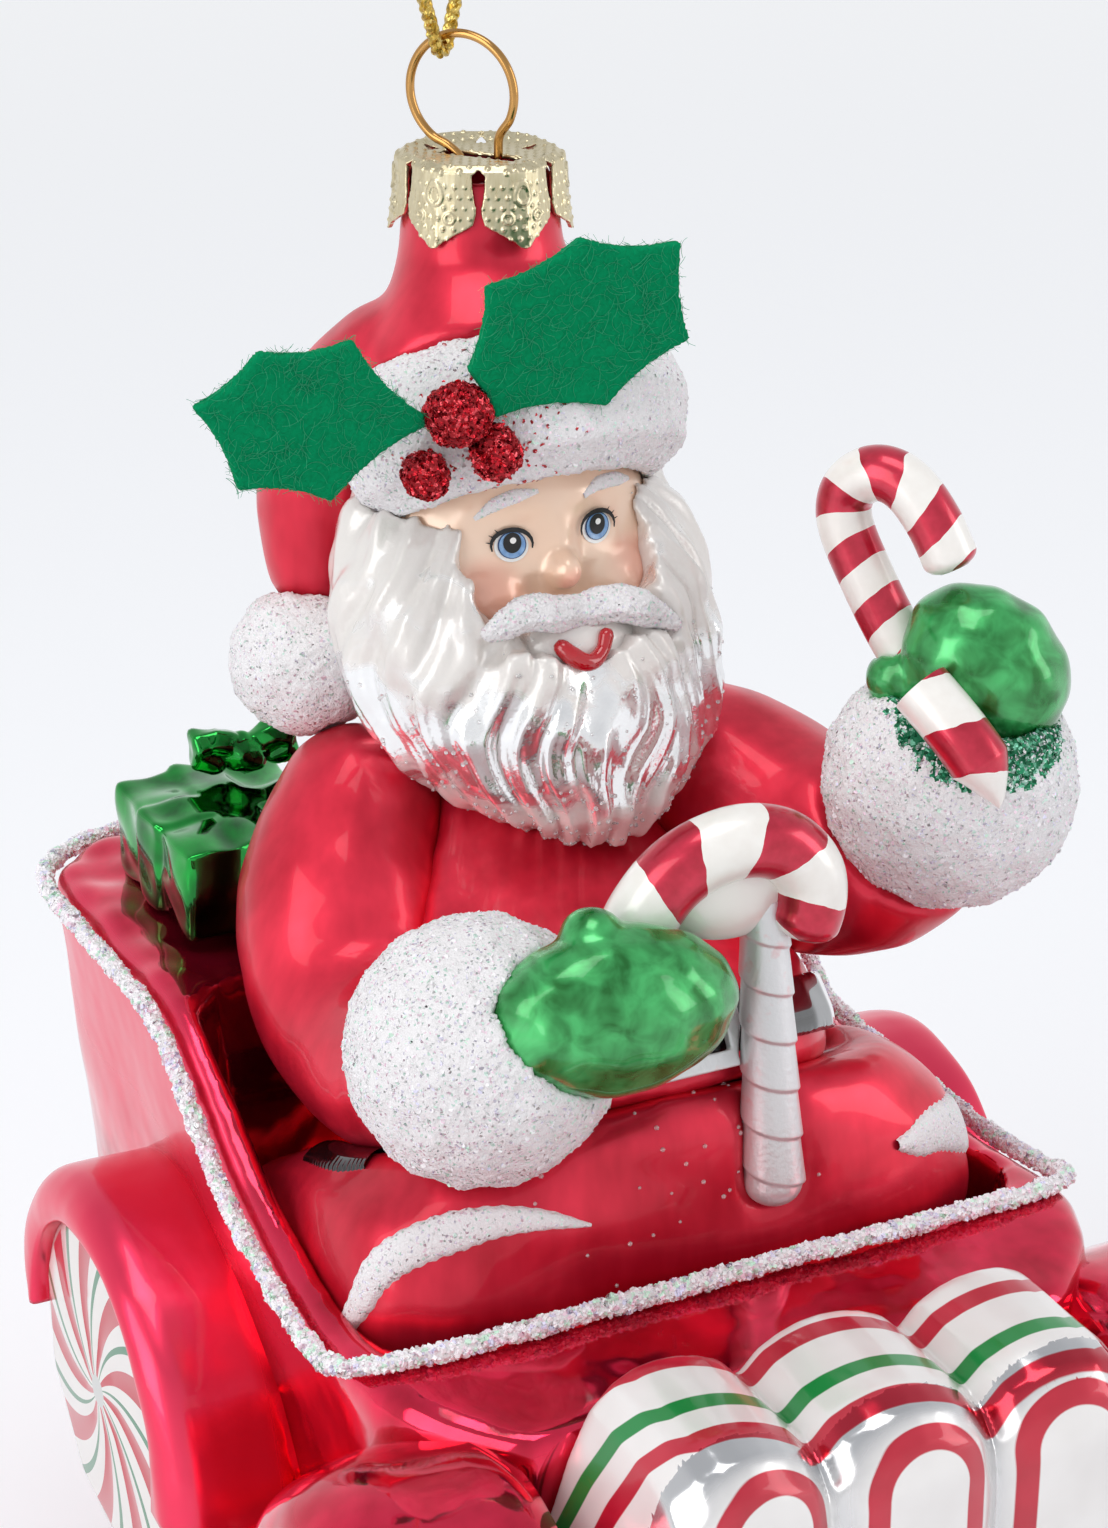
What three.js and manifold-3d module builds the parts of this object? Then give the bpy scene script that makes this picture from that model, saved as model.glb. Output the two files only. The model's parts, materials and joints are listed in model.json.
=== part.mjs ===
// Blown-glass tree ornament: a bearded man in a fur-trimmed suit driving a car made of sweets.
// Millimetres, +Z up, the car's front faces -Y, the driver's left hand is on +X.
// The model is laid out from the ground under the wheels, and the whole is then moved so that
// the origin lies inside the top of the hanging cord's loop.
import * as THREE from 'three';
import { mergeVertices } from 'three/addons/utils/BufferGeometryUtils.js';
import Module from 'manifold-3d';

const wasm = await Module();
wasm.setup();

// Clearance between pieces that touch
const gap = 0.3;

// Driving sizes of the head, neck, cap and hanger
const headCentre = new THREE.Vector3(0, -7.5, 88);
const headRadii = new THREE.Vector3(12.5, 9.5, 14);
const crownRise = 17;
const neckHeight = 15.4;
const neckAxis = new THREE.Vector2(0.7, -0.4);
const crownTop = headCentre.z + crownRise;
const capTopHeight = crownTop + neckHeight;
const capTopRadius = 6.95;
const capSkirtRadius = 7.6;
const capWall = 0.4;
const capDish = 0.6;
const capSkirt = 6.8;
const capCrimp = 0.036;
const petalCount = 6;
const neckRadius = 6.8;
const neckTopRadius = 6.0;
const boreRadius = 4.9;
const boreSink = 5.2;
const wireRadius = 0.38;
const ringRadius = 4.85;
const ringLift = 5.13;
const ringLean = -1.65;
const slotLength = 7.2;
const slotWidth = 1.7;
const slotTurn = THREE.MathUtils.degToRad(-52);
const legLength = 16;
const legSpread = 2.3;

// Driving sizes of the cord
const cordRadius = 0.6;
const knotRadius = 1.5;

// Driving sizes of the car
const wheelRadius = 16;
const wheelWidth = 7.8;
const tubHalfWidth = 34;
const wheelTuck = 0.2;
const wheelInner = tubHalfWidth - wheelTuck;
const rearAxle = -10;
const frontAxle = -63;
const lipCover = 0.8;
const lipOpening = wheelRadius - lipCover;
const fenderOverhang = 1.4;
const fenderOuter = wheelInner + wheelWidth + fenderOverhang;
const frontFenderRound = 8;
const rearFenderRound = 3.4;
const leftFenderDrop = 4.6;
const rimFront = -49.6;
const cowlFront = -61.2;
const cowlHalfWidth = 24.6;
const frontFenderInner = cowlHalfWidth + 2 * gap;
const cowlHeight = 36.6;
const tubFloor = 8;
const tubTaper = 0.9;
const tailStart = 15.5;
const tailLength = 13;
const tailSquareness = 3.2;
const rimRound = 2.2;
const rimTrimRadius = 1.0;
const seatFloor = 22;
const rimWall = 2.8;
const cockpitHalfWidth = tubHalfWidth - rimWall;
const cockpitFront = -47.4;
const seatBack = { middle: 4.5, right: -8, left: 3 };
const deckHeight = 52.4;
const hoodHalfWidth = 21.8;
const hoodSkirt = 24.8;
const hoodTop = 38.2;
const hoodFront = -77;
const hoodFloor = 9;
const lobeHeight = 3.6;
const lobeCount = 3;
const hoodRound = 5.5;

// Driving sizes of the driver
const brimCentre = new THREE.Vector3(0, -8, 98.6);
const brimTilt = THREE.MathUtils.degToRad(30);
const brimSpan = new THREE.Vector2(10.7, 7.8);
const brimSection = new THREE.Vector2(4.8, 6.3);
const beltCentre = new THREE.Vector3(0, -21, 42.5);
const torsoTilt = THREE.MathUtils.degToRad(31);
const beltWidth = 5;
const beltRise = 1.8;
const beltThickness = 0.8;
const skirtDrop = 2.8;
const leftKneeDraw = 0.93;
const cuffRadius = 10.9;
const rightCuff = new THREE.Vector3(-18.5, -39.7, 58.6);
const leftCuff = new THREE.Vector3(28.5, -33.6, 70.3);
const caneRadius = 2.3;
const crookRadius = 2.9;
const pompomRadius = 6.6;
const leafThickness = 1.0;

// Finishes
const finish = (color, roughness, metalness) =>
  new THREE.MeshStandardMaterial({ color, roughness, metalness });
const redMirror = finish(0xb3001e, 0.12, 0.85);
const redSatin = finish(0xc8102e, 0.4, 0.35);
const whiteGlitter = finish(0xf2eef0, 0.9, 0.0);
const peachPearl = finish(0xe9c3ab, 0.35, 0.2);
const silverPearl = finish(0xe6e4e2, 0.22, 0.6);
const greenMirror = finish(0x0a7a34, 0.15, 0.8);
const greenPaint = finish(0x1c8a3c, 0.4, 0.0);
const whitePearl = finish(0xf1ece4, 0.3, 0.0);
const redGlitter = finish(0xa3101c, 0.7, 0.2);
const feltGreen = finish(0x0f7a4c, 1.0, 0.0);
const blackGloss = finish(0x101010, 0.15, 0.0);
const silverPaint = finish(0xc8c8ca, 0.35, 0.7);
const champagne = finish(0xd9c48f, 0.35, 0.9);
const copperWire = finish(0xc08a4a, 0.25, 1.0);
const goldThread = finish(0xc9a23a, 0.4, 0.8);

// Mesh helpers: every solid is a closed triangle mesh with its faces outwards
function signedVolume(position, index) {
  const a = new THREE.Vector3();
  const b = new THREE.Vector3();
  const c = new THREE.Vector3();
  let sum = 0;
  for (let i = 0; i < index.length; i += 3) {
    a.fromBufferAttribute(position, index[i]);
    b.fromBufferAttribute(position, index[i + 1]);
    c.fromBufferAttribute(position, index[i + 2]);
    sum += a.dot(b.cross(c)) / 6;
  }
  return sum;
}

function solidFrom(geometry) {
  const bare = geometry.clone();
  bare.deleteAttribute('normal');
  bare.deleteAttribute('uv');
  const merged = mergeVertices(bare, 1e-4);
  const position = merged.attributes.position;
  const index = [];
  for (let i = 0; i < merged.index.count; i += 3) {
    const corners = [merged.index.getX(i), merged.index.getX(i + 1), merged.index.getX(i + 2)];
    if (new Set(corners).size === 3) index.push(...corners);
  }
  if (signedVolume(position, index) < 0) index.reverse();
  return new wasm.Manifold(new wasm.Mesh({
    numProp: 3,
    vertProperties: new Float32Array(position.array),
    triVerts: new Uint32Array(index),
  }));
}

function geometryFrom(solid) {
  const mesh = solid.getMesh();
  const geometry = new THREE.BufferGeometry();
  geometry.setAttribute('position', new THREE.Float32BufferAttribute(mesh.vertProperties, 3));
  geometry.setIndex(new THREE.Uint32BufferAttribute(mesh.triVerts, 1));
  geometry.computeVertexNormals();
  return geometry;
}

const cut = (solid, ...others) => others.reduce((rest, other) => rest.subtract(other), solid);
const join = (solid, ...others) => others.reduce((sum, other) => sum.add(other), solid);

// A skin over rings of equal point counts, closed by a fan at each end or joined end to start
function loft(rings, closed = false) {
  const count = rings[0].length;
  const points = rings.flat();
  const index = [];
  const steps = closed ? rings.length : rings.length - 1;
  for (let i = 0; i < steps; i += 1) {
    const here = i * count;
    const there = ((i + 1) % rings.length) * count;
    for (let j = 0; j < count; j += 1) {
      const k = (j + 1) % count;
      index.push(here + j, here + k, there + k, here + j, there + k, there + j);
    }
  }
  if (!closed) {
    [0, rings.length - 1].forEach((end, turn) => {
      const centre = rings[end].reduce((sum, p) => sum.add(p), new THREE.Vector3()).divideScalar(count);
      const hub = points.push(centre) - 1;
      for (let j = 0; j < count; j += 1) {
        const k = (j + 1) % count;
        const a = end * count + j;
        const b = end * count + k;
        index.push(...(turn ? [a, b, hub] : [b, a, hub]));
      }
    });
  }
  const geometry = new THREE.BufferGeometry().setFromPoints(points);
  geometry.setIndex(index);
  return solidFrom(geometry);
}

// An ellipse of points about a centre, in the plane of two unit directions
function ellipse(centre, across, along, radiusA, radiusB, count, swell = () => 1) {
  return Array.from({ length: count }, (_, i) => {
    const angle = (i / count) * Math.PI * 2;
    const grow = swell(angle);
    return centre.clone()
      .addScaledVector(across, radiusA * grow * Math.cos(angle))
      .addScaledVector(along, radiusB * grow * Math.sin(angle));
  });
}

function ellipsoid(centre, radii, around = 20, down = 14, turn = null) {
  const geometry = new THREE.SphereGeometry(1, around, down);
  geometry.scale(radii.x, radii.y, radii.z);
  if (turn) geometry.applyMatrix4(new THREE.Matrix4().makeRotationFromEuler(turn));
  geometry.translate(centre.x, centre.y, centre.z);
  return solidFrom(geometry);
}

// A round limb along a curve, its radius read off a second curve and both ends domed
function limb(points, radii, grow = 0, sides = 12, steps = 9) {
  const path = new THREE.CatmullRomCurve3(points);
  const size = new THREE.SplineCurve(radii.map((r, i) => new THREE.Vector2(i, r)));
  const frames = path.computeFrenetFrames(steps, false);
  const ring = (i, push, shrink) => {
    const t = i / steps;
    const radius = (size.getPoint(t).y + grow) * shrink;
    const centre = path.getPoint(t).addScaledVector(frames.tangents[i], push * (size.getPoint(t).y + grow));
    return ellipse(centre, frames.normals[i], frames.binormals[i], radius, radius, sides);
  };
  const domes = [0.97, 0.82, 0.5];
  const rings = domes.map((push) => ring(0, -push, Math.sqrt(1 - push * push)));
  for (let i = 0; i <= steps; i += 1) rings.push(ring(i, 0, 1));
  domes.reverse().forEach((push) => rings.push(ring(steps, push, Math.sqrt(1 - push * push))));
  return loft(rings);
}

// A tube of one radius along a smooth open curve through points
function tube(points, radius, sides, steps) {
  const section = new THREE.Shape();
  section.absarc(0, 0, radius, 0, Math.PI * 2);
  return solidFrom(new THREE.ExtrudeGeometry(section, {
    curveSegments: sides / 2,
    steps,
    extrudePath: new THREE.CatmullRomCurve3(points),
  }));
}

// A solid of revolution about +Z from points of (radius, height)
function revolve(profile, segments) {
  const geometry = new THREE.LatheGeometry(profile.map(([r, z]) => new THREE.Vector2(r, z)), segments);
  geometry.rotateX(Math.PI / 2);
  return solidFrom(geometry);
}

// A flat outline in (y, z) swept from x = from to x = to
function acrossX(outline, from, to) {
  return loft([from, to].map((x) => outline.map(([y, z]) => v3(x, y, z))));
}

const v3 = (x, y, z) => new THREE.Vector3(x, y, z);
const xAxis = v3(1, 0, 0);
const yAxis = v3(0, 1, 0);
const zAxis = v3(0, 0, 1);

// Where the pieces go: the cord is the root, and each body hangs in the one before
const ornament = new THREE.Group();
const groupNames = ['cord', 'hanger', 'cap', 'driver', 'presents', 'holly', 'car'];
const groups = Object.fromEntries(groupNames.map((name) => {
  const group = new THREE.Group();
  group.name = `${name}_group`;
  ornament.add(group);
  return [name, group];
}));
function addPiece(group, name, solid, material) {
  const mesh = new THREE.Mesh(geometryFrom(solid), material.clone());
  mesh.name = name;
  group.add(mesh);
}

// The wire's own plane: s runs along the cap's slot, n is square to it
const slotWay = v3(Math.cos(slotTurn), Math.sin(slotTurn), 0);
const slotSide = v3(-Math.sin(slotTurn), Math.cos(slotTurn), 0);
const slotHeight = capTopHeight - capDish;
const onAxis = (z) => v3(neckAxis.x, neckAxis.y, z);
const inWire = (s, h) => onAxis(slotHeight + h).addScaledVector(slotWay, s);

// Hanger: one wire, bent into a ring with two sprung legs
function hangerPoints() {
  const legFoot = -legLength;
  const points = [
    inWire(-legSpread, legFoot),
    inWire(-legSpread * 0.72, legFoot * 0.55),
    inWire(-1.3, -3.2),
    inWire(-1.7, -0.7),
  ];
  const from = THREE.MathUtils.degToRad(255);
  const to = THREE.MathUtils.degToRad(-44);
  const count = 14;
  for (let i = 0; i <= count; i += 1) {
    const angle = from + ((to - from) * i) / count;
    points.push(inWire(ringLean + ringRadius * Math.cos(angle), ringLift + ringRadius * Math.sin(angle)));
  }
  points.push(inWire(1.7, 0), inWire(1.4, -3.2));
  points.push(inWire(legSpread * 0.72, legFoot * 0.55), inWire(legSpread, legFoot));
  return points;
}
addPiece(groups.hanger, 'wire_hanger', tube(hangerPoints(), wireRadius, 6, 56), copperWire);

// Cap: a crimped crown with six shield-shaped petals, keyhole gaps and a straight slot for the wire
const petalTurn = THREE.MathUtils.degToRad(-146.5);
function gapOutline() {
  const half = (Math.PI * capSkirtRadius) / petalCount;
  const edge = [
    [0, -0.35], [0.55, -0.8], [0.5, -1.9], [0.2, -3.9], [0.5, -4.9], [2, -5.7], [3, -6.3],
    [half - 0.15, -capSkirt - 0.3], [half - 0.15, -capSkirt - 2],
  ];
  const shape = new THREE.Shape();
  shape.moveTo(0, edge[0][1]);
  edge.slice(1).forEach(([x, z]) => shape.lineTo(x, z));
  edge.slice(1).reverse().forEach(([x, z]) => shape.lineTo(-x, z));
  shape.closePath();
  return shape;
}
function gapCutter(angle) {
  const geometry = new THREE.ExtrudeGeometry(gapOutline(), { depth: 6, bevelEnabled: false });
  geometry.translate(0, 0, 4.2);
  const outward = v3(Math.cos(angle), Math.sin(angle), 0);
  const sideways = v3(-Math.sin(angle), Math.cos(angle), 0);
  geometry.applyMatrix4(new THREE.Matrix4().makeBasis(sideways, zAxis, outward));
  geometry.translate(neckAxis.x, neckAxis.y, capTopHeight);
  return solidFrom(geometry);
}
function capShell() {
  const around = 30;
  const crimp = (angle) => 1 + capCrimp * Math.cos(petalCount * (angle - petalTurn));
  const level = (z, radius, wavy) => ellipse(
    onAxis(capTopHeight + z), xAxis, yAxis, radius, radius, around, wavy ? crimp : undefined,
  );
  const dish = 4.9;
  return loft([
    level(-capDish, dish),
    level(0, capTopRadius - 0.75, true),
    level(-0.55, capTopRadius, true),
    level(-2.8, capTopRadius + 0.15, true),
    level(-capSkirt, capSkirtRadius, true),
    level(-capSkirt - 0.01, capSkirtRadius - capWall, true),
    level(-2.8, capTopRadius + 0.15 - capWall, true),
    level(-0.9, capTopRadius - capWall, true),
    level(-capDish - capWall, dish),
  ]);
}
function slotCutter() {
  const geometry = new THREE.BoxGeometry(slotLength, slotWidth, 4);
  geometry.rotateZ(slotTurn);
  geometry.translate(neckAxis.x, neckAxis.y, slotHeight);
  return solidFrom(geometry);
}
const petalGaps = Array.from({ length: petalCount }, (_, i) =>
  gapCutter(petalTurn + ((i + 0.5) / petalCount) * Math.PI * 2));
addPiece(groups.cap, 'cap', cut(capShell(), slotCutter(), ...petalGaps), champagne);

// Cord: a loop of twisted thread through the ring, its two ends in one knot.
// The points are (along the slot's square direction, height above the wire's top).
const cordSlide = -1.8;
const cordSeat = { s: ringLean + cordSlide, h: ringLift + Math.sqrt(ringRadius ** 2 - cordSlide ** 2) };
const cordFoot = inWire(cordSeat.s, cordSeat.h);
const cordRoute = [
  [-4.3, 18.2], [-4.6, 14.5], [-4.5, 10.5], [-4.1, 6.6], [-3.1, 3.6], [-2.0, 1.4], [-1.3, -0.1],
  [-0.75, -1.05], [0, -1.3], [0.75, -1.05], [1.3, -0.1], [2.0, 1.4], [3.1, 3.6], [4.1, 6.6],
  [4.5, 10.5], [4.6, 15], [4.6, 20], [4.5, 26], [4.5, 32], [4.3, 38], [3.9, 42.5], [3.0, 46.2],
  [1.5, 48.4], [0, 49], [-1.5, 48.4], [-3.0, 46.2], [-3.9, 42.5], [-4.3, 38], [-4.5, 32], [-4.4, 26],
  [-4.25, 21.9],
];
const onCord = ([n, h]) => cordFoot.clone().addScaledVector(slotSide, n).addScaledVector(zAxis, h);
addPiece(groups.cord, 'hanging_cord', tube(cordRoute.map(onCord), cordRadius, 8, 54), goldThread);
const knotCentre = onCord([-4.18, 20.05]);
const knotTails = [[-1.6, -2.6], [1.9, -2.2]].map(([n, h]) => tube([
  knotCentre.clone(),
  knotCentre.clone().addScaledVector(slotWay, n * 0.6).addScaledVector(zAxis, h * 0.35),
  knotCentre.clone().addScaledVector(slotWay, n).addScaledVector(zAxis, h),
], cordRadius * 0.8, 6, 3));
const knotHalf = (onCord([0, 21.9]).z - onCord([0, 18.2]).z) / 2 - gap;
addPiece(groups.cord, 'cord_knot', join(
  ellipsoid(knotCentre, v3(knotRadius, knotRadius, knotHalf), 10, 6), ...knotTails,
), goldThread);

// Head
function head(grow = 0) {
  const size = headRadii.clone().addScalar(grow);
  const nose = ellipsoid(v3(0, -17.2, 88.4), v3(2.1 + grow, 2.5 + grow, 2.2 + grow), 10, 6);
  const cheeks = [-1, 1].map((side) =>
    ellipsoid(v3(side * 5, -14, 86.2), v3(4 + grow, 3.6 + grow, 3.6 + grow), 8, 6));
  return join(ellipsoid(headCentre, size, 16, 12), nose, ...cheeks);
}
addPiece(groups.driver, 'head', head(), peachPearl);

// Hat brim: a thick roll of fur, tilted back
const brimUp = v3(0, Math.sin(brimTilt), Math.cos(brimTilt));
const brimBack = v3(0, Math.cos(brimTilt), -Math.sin(brimTilt));
function brim(grow = 0) {
  const around = 24;
  const rings = Array.from({ length: around }, (_, i) => {
    const angle = (i / around) * Math.PI * 2;
    const outward = xAxis.clone().multiplyScalar(Math.cos(angle)).addScaledVector(brimBack, Math.sin(angle));
    const spine = brimCentre.clone()
      .addScaledVector(xAxis, brimSpan.x * Math.cos(angle))
      .addScaledVector(brimBack, brimSpan.y * Math.sin(angle));
    return ellipse(spine, outward, brimUp, brimSection.x + grow, brimSection.y + grow, 9);
  });
  return loft(rings, true);
}
addPiece(groups.driver, 'hat_brim', cut(brim(), head(gap)), whiteGlitter);

// Hat: the bored glass neck, the crown under it and the tail that flops to the right
const neckRise = (share) => crownTop + neckHeight * share;
function hatCrown(grow = 0) {
  const levels = [
    [headCentre.z + 9.6, 0, -4.4, 10.4], [headCentre.z + 13, 0, -5.2, 11.8], [crownTop, 0, -4.8, 11],
    [neckRise(0.195), 0.3, -3.4, 9.2], [neckRise(0.35), 0.5, -1.7, 7.8],
    [capTopHeight - capSkirt - 1.2, neckAxis.x, neckAxis.y, neckRadius + 0.1],
    [capTopHeight - capSkirt + 1, neckAxis.x, neckAxis.y, neckRadius],
    [capTopHeight - 3, neckAxis.x, neckAxis.y, neckTopRadius],
    [slotHeight - capWall - gap, neckAxis.x, neckAxis.y, neckTopRadius],
  ];
  const tail = limb(
    [v3(-6, 0, 101.6), v3(-10.2, 3.4, 97), v3(-12.8, 5, 90.5), v3(-13.4, 4.2, 84.6)],
    [7.2, 6.5, 5.5, 4.4], grow,
  );
  const crown = loft(levels.map(([z, x, y, r]) =>
    ellipse(v3(x, y, z), xAxis, yAxis, r + grow, r + grow, 20)));
  return join(crown, tail);
}
// The bore runs down into the hollow where the head sits
const boreFloor = headCentre.z + headRadii.z - boreSink;
const neckBore = revolve([
  [0, boreFloor], [boreRadius, boreFloor], [boreRadius, capTopHeight + 1], [0, capTopHeight + 1],
], 20).translate([neckAxis.x, neckAxis.y, 0]);
addPiece(groups.driver, 'hat', cut(hatCrown(), neckBore, head(gap), brim(gap)), redSatin);

// Pompom at the tail's end
const pompomCentre = v3(-15.6, 1.5, 76.6);
const pompom = (grow = 0) => ellipsoid(pompomCentre, v3(1, 1, 1).multiplyScalar(pompomRadius + grow), 14, 10);

// Presents on the rear deck
function present({ at, size, turn, ribbon }, grow = 0) {
  const wrap = (width, depth, height) => {
    const geometry = new THREE.BoxGeometry(width + 2 * grow, depth + 2 * grow, height + 2 * grow);
    geometry.rotateZ(turn);
    geometry.translate(at.x, at.y, at.z + height / 2);
    return solidFrom(geometry);
  };
  return join(
    wrap(size.x, size.y, size.z),
    wrap(ribbon, size.y + 0.8, size.z + 0.4),
    wrap(size.x + 0.8, ribbon, size.z + 0.4),
  );
}
const deckTop = deckHeight + gap;
const giftInset = 13.4;
const gift = { at: v3(giftInset - tubHalfWidth, 8.6, deckTop), size: v3(15, 18, 8.2), turn: 0, ribbon: 4 };
addPiece(groups.presents, 'gift_box', present(gift), greenMirror);
function bow() {
  const seat = gift.at.clone().add(v3(3.4, 4.6, gift.size.z + 0.4 + gap));
  const loops = [[-1, 0.3], [1, -0.3]].map(([side, lean]) => limb([
    seat.clone().add(v3(0, 0, 1.6)),
    seat.clone().add(v3(side * 2.6, lean, 3.4)),
    seat.clone().add(v3(side * 4.4, lean * 2, 2.8)),
    seat.clone().add(v3(side * 3, lean, 1.7)),
  ], [1.3, 1.5, 1.6, 1.3], 0, 6, 5));
  const knot = ellipsoid(seat.clone().add(v3(0, 0, 2)), v3(2.2, 2.2, 2), 8, 6);
  return join(knot, ...loops);
}
addPiece(groups.presents, 'gift_bow', cut(bow(), pompom(gap)), greenMirror);

// Beard: wavy locks round the lower face, with a window for the face
function beard(grow = 0) {
  const locks = 10;
  const depth = 0.035;
  const levels = [
    [94, 0, -6.4, 12.8, 8.4], [90, 0, -7.6, 15, 11], [86, 0, -9, 16.4, 13], [81, 0.3, -9.9, 16.8, 14],
    [76, 0.9, -10.3, 16.2, 14.1], [71.5, 1.6, -10.9, 14.2, 13.4], [68, 2.2, -11.9, 10.8, 11.8],
    [64.8, 2.8, -14.8, 4.6, 7],
  ];
  return loft(levels.map(([z, x, y, a, b]) => ellipse(
    v3(x, y, z), xAxis, yAxis, a + grow, b + grow, 32,
    (angle) => 1 + depth * Math.cos(locks * angle + (z - 80) * 0.18) * (Math.sin(angle) < 0.3 ? 1 : 0),
  )));
}
const faceWindow = ellipsoid(v3(0, -20, 90.4), v3(9.7, 12, 8.4), 12, 8);

// Shoulders, belly and skirt share one leaning axis
const torsoUp = v3(0, Math.sin(torsoTilt), Math.cos(torsoTilt));
const torsoFront = v3(0, -Math.cos(torsoTilt), Math.sin(torsoTilt));
const alongTorso = (s, forward = 0) =>
  beltCentre.clone().addScaledVector(torsoUp, s).addScaledVector(torsoFront, forward);
const torsoLevels = [
  [-skirtDrop, 2.6, 20, 21.4], [1, 2.4, 20.2, 21.8], [5, 1.2, 20.4, 20.8], [9, -0.6, 20.2, 18.6],
  [14, -2.2, 19, 15.4], [19, -3.4, 17.6, 12.8], [24, -4.2, 15.4, 11], [28, -4.6, 12, 9], [30.5, -4.8, 7, 6],
];
function torso(grow = 0) {
  return loft(torsoLevels.map(([s, forward, a, b], i) => {
    const end = i === 0 ? -1 : 1;
    const shift = i === 0 || i === torsoLevels.length - 1 ? grow * end : 0;
    return ellipse(alongTorso(s + shift, forward), xAxis, torsoFront, a + grow, b + grow, 28);
  }));
}

// Arms, cuffs, mittens and canes
const rightArmPath = [
  v3(-14, -6, 65.4), v3(-17.2, -9, 59), v3(-18.6, -15, 52), v3(-19, -24, 50.4), v3(-18.6, -33, 54.4),
];
const leftArmPath = [
  v3(13.6, -6.4, 65.6), v3(18.4, -11.5, 63.2), v3(22.8, -20, 60), v3(25.6, -27, 61.4), v3(27.6, -31.4, 66.4),
];
const rightArm = (grow = 0) => limb(rightArmPath, [7.4, 9, 8.8, 8, 7.6], grow);
const leftArm = (grow = 0) => limb(leftArmPath, [7.4, 9.2, 9.6, 8.6, 7.6], grow);
const cuff = (centre, grow = 0) => ellipsoid(centre, v3(1, 1, 1).multiplyScalar(cuffRadius + grow), 16, 10);

const crookPath = [
  v3(-7.2, -42.8, 66.4), v3(-5.6, -43.1, 69.6), v3(-3.5, -43.5, 72.2), v3(-0.9, -44.1, 73.9),
  v3(2.3, -44.7, 74.6), v3(5.4, -45.2, 73.8), v3(7.5, -45.6, 71.4), v3(7.8, -45.7, 68.6), v3(6.8, -45.6, 65.6),
];
const shaftTop = v3(4.6, -43.8, 69);
const shaftFoot = v3(5.4, -45.6, 41.6);
// Shaft of the standing cane: it widens downwards and a groove winds round it
function shaft(grow = 0) {
  const turns = 5;
  const steps = 20;
  const down = shaftFoot.clone().sub(shaftTop);
  const way = down.clone().normalize();
  const across = v3(1, 0, 0).cross(way).normalize();
  const along = way.clone().cross(across);
  const rings = [];
  for (let i = 0; i <= steps; i += 1) {
    const t = i / steps;
    const foot = Math.min(1, (1 - t) * 9);
    const radius = (1.9 + 0.7 * t) * Math.sqrt(Math.max(0.16, 1 - (1 - foot) ** 2)) + grow;
    const groove = (angle) => 1 - 0.1 * Math.max(0, Math.cos(angle - t * turns * Math.PI * 2)) ** 6;
    const centre = shaftTop.clone().addScaledVector(down, t);
    rings.push(ellipse(centre, across, along, radius, radius, 10, grow ? () => 1 : groove));
  }
  return loft(rings);
}
const crookWeb = (grow = 0) => ellipsoid(v3(1.6, -43.9, 70.4), v3(6 + grow, 1.7 + grow, 4.2 + grow), 8, 4);
const rightCane = (grow = 0) => join(tube(crookPath, crookRadius + grow, 8, 14), shaft(grow), crookWeb(grow));

const raisedCanePath = [
  v3(29.9, -37.4, 70.2), v3(28.5, -35.2, 74.2), v3(26.8, -32.6, 78.5), v3(25, -29.7, 82.7),
  v3(23.4, -27.2, 87.5), v3(22.3, -25.5, 91.6), v3(22.3, -25.4, 94.2), v3(23, -26.6, 96),
  v3(24.1, -28.4, 96.7), v3(25.4, -30.3, 95.8), v3(26.7, -32.3, 93.1), v3(27.7, -34, 89.6),
];
const raisedCane = (grow = 0) => tube(raisedCanePath, caneRadius + grow, 8, 20);

function rightMitten(grow = 0) {
  const size = v3(10.3 + grow, 5.6 + grow, 6.8 + grow);
  const hand = ellipsoid(v3(-10.6, -47.4, 63.9), size, 14, 8, new THREE.Euler(0, 0, -0.08));
  const thumb = limb([v3(-12.4, -46.6, 66.6), v3(-11.7, -45.8, 69.4)], [2.9, 2.6], grow, 8, 3);
  return join(hand, thumb);
}
function leftMitten(grow = 0) {
  const size = v3(7.8 + grow, 5.8 + grow, 6.3 + grow);
  const fingers = ellipsoid(v3(30.3, -35.4, 81), size, 12, 8, new THREE.Euler(0, 0.75, -0.45, 'ZYX'));
  const wrist = limb([v3(29, -34, 73), v3(30, -34.6, 79)], [4.4, 5], grow, 10, 3);
  const thumb = limb([v3(27, -33, 76.5), v3(24.4, -31.6, 79.8)], [2.8, 2.7], grow, 8, 3);
  return join(fingers, wrist, thumb);
}
const cuffHollow = ellipsoid(v3(29.6, -35.4, 79.4), v3(7.2, 7.2, 5), 12, 6);

addPiece(groups.driver, 'right_candy_cane', rightCane(), whitePearl);
addPiece(groups.driver, 'left_candy_cane', raisedCane(), whitePearl);
addPiece(groups.driver, 'right_mitten', cut(rightMitten(), rightCane(gap)), greenPaint);
addPiece(groups.driver, 'left_mitten', cut(leftMitten(), raisedCane(gap)), greenPaint);
addPiece(groups.driver, 'right_cuff', cut(cuff(rightCuff), rightMitten(gap), rightCane(gap)), whiteGlitter);
addPiece(groups.driver, 'left_cuff', cut(
  cuff(leftCuff), cuffHollow, leftMitten(gap), raisedCane(gap),
), whiteGlitter);
addPiece(groups.driver, 'right_arm', cut(
  rightArm(), cuff(rightCuff, gap), beard(gap), present(gift, gap),
), redSatin);
addPiece(groups.driver, 'left_arm', cut(leftArm(), cuff(leftCuff, gap), beard(gap)), redSatin);

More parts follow.
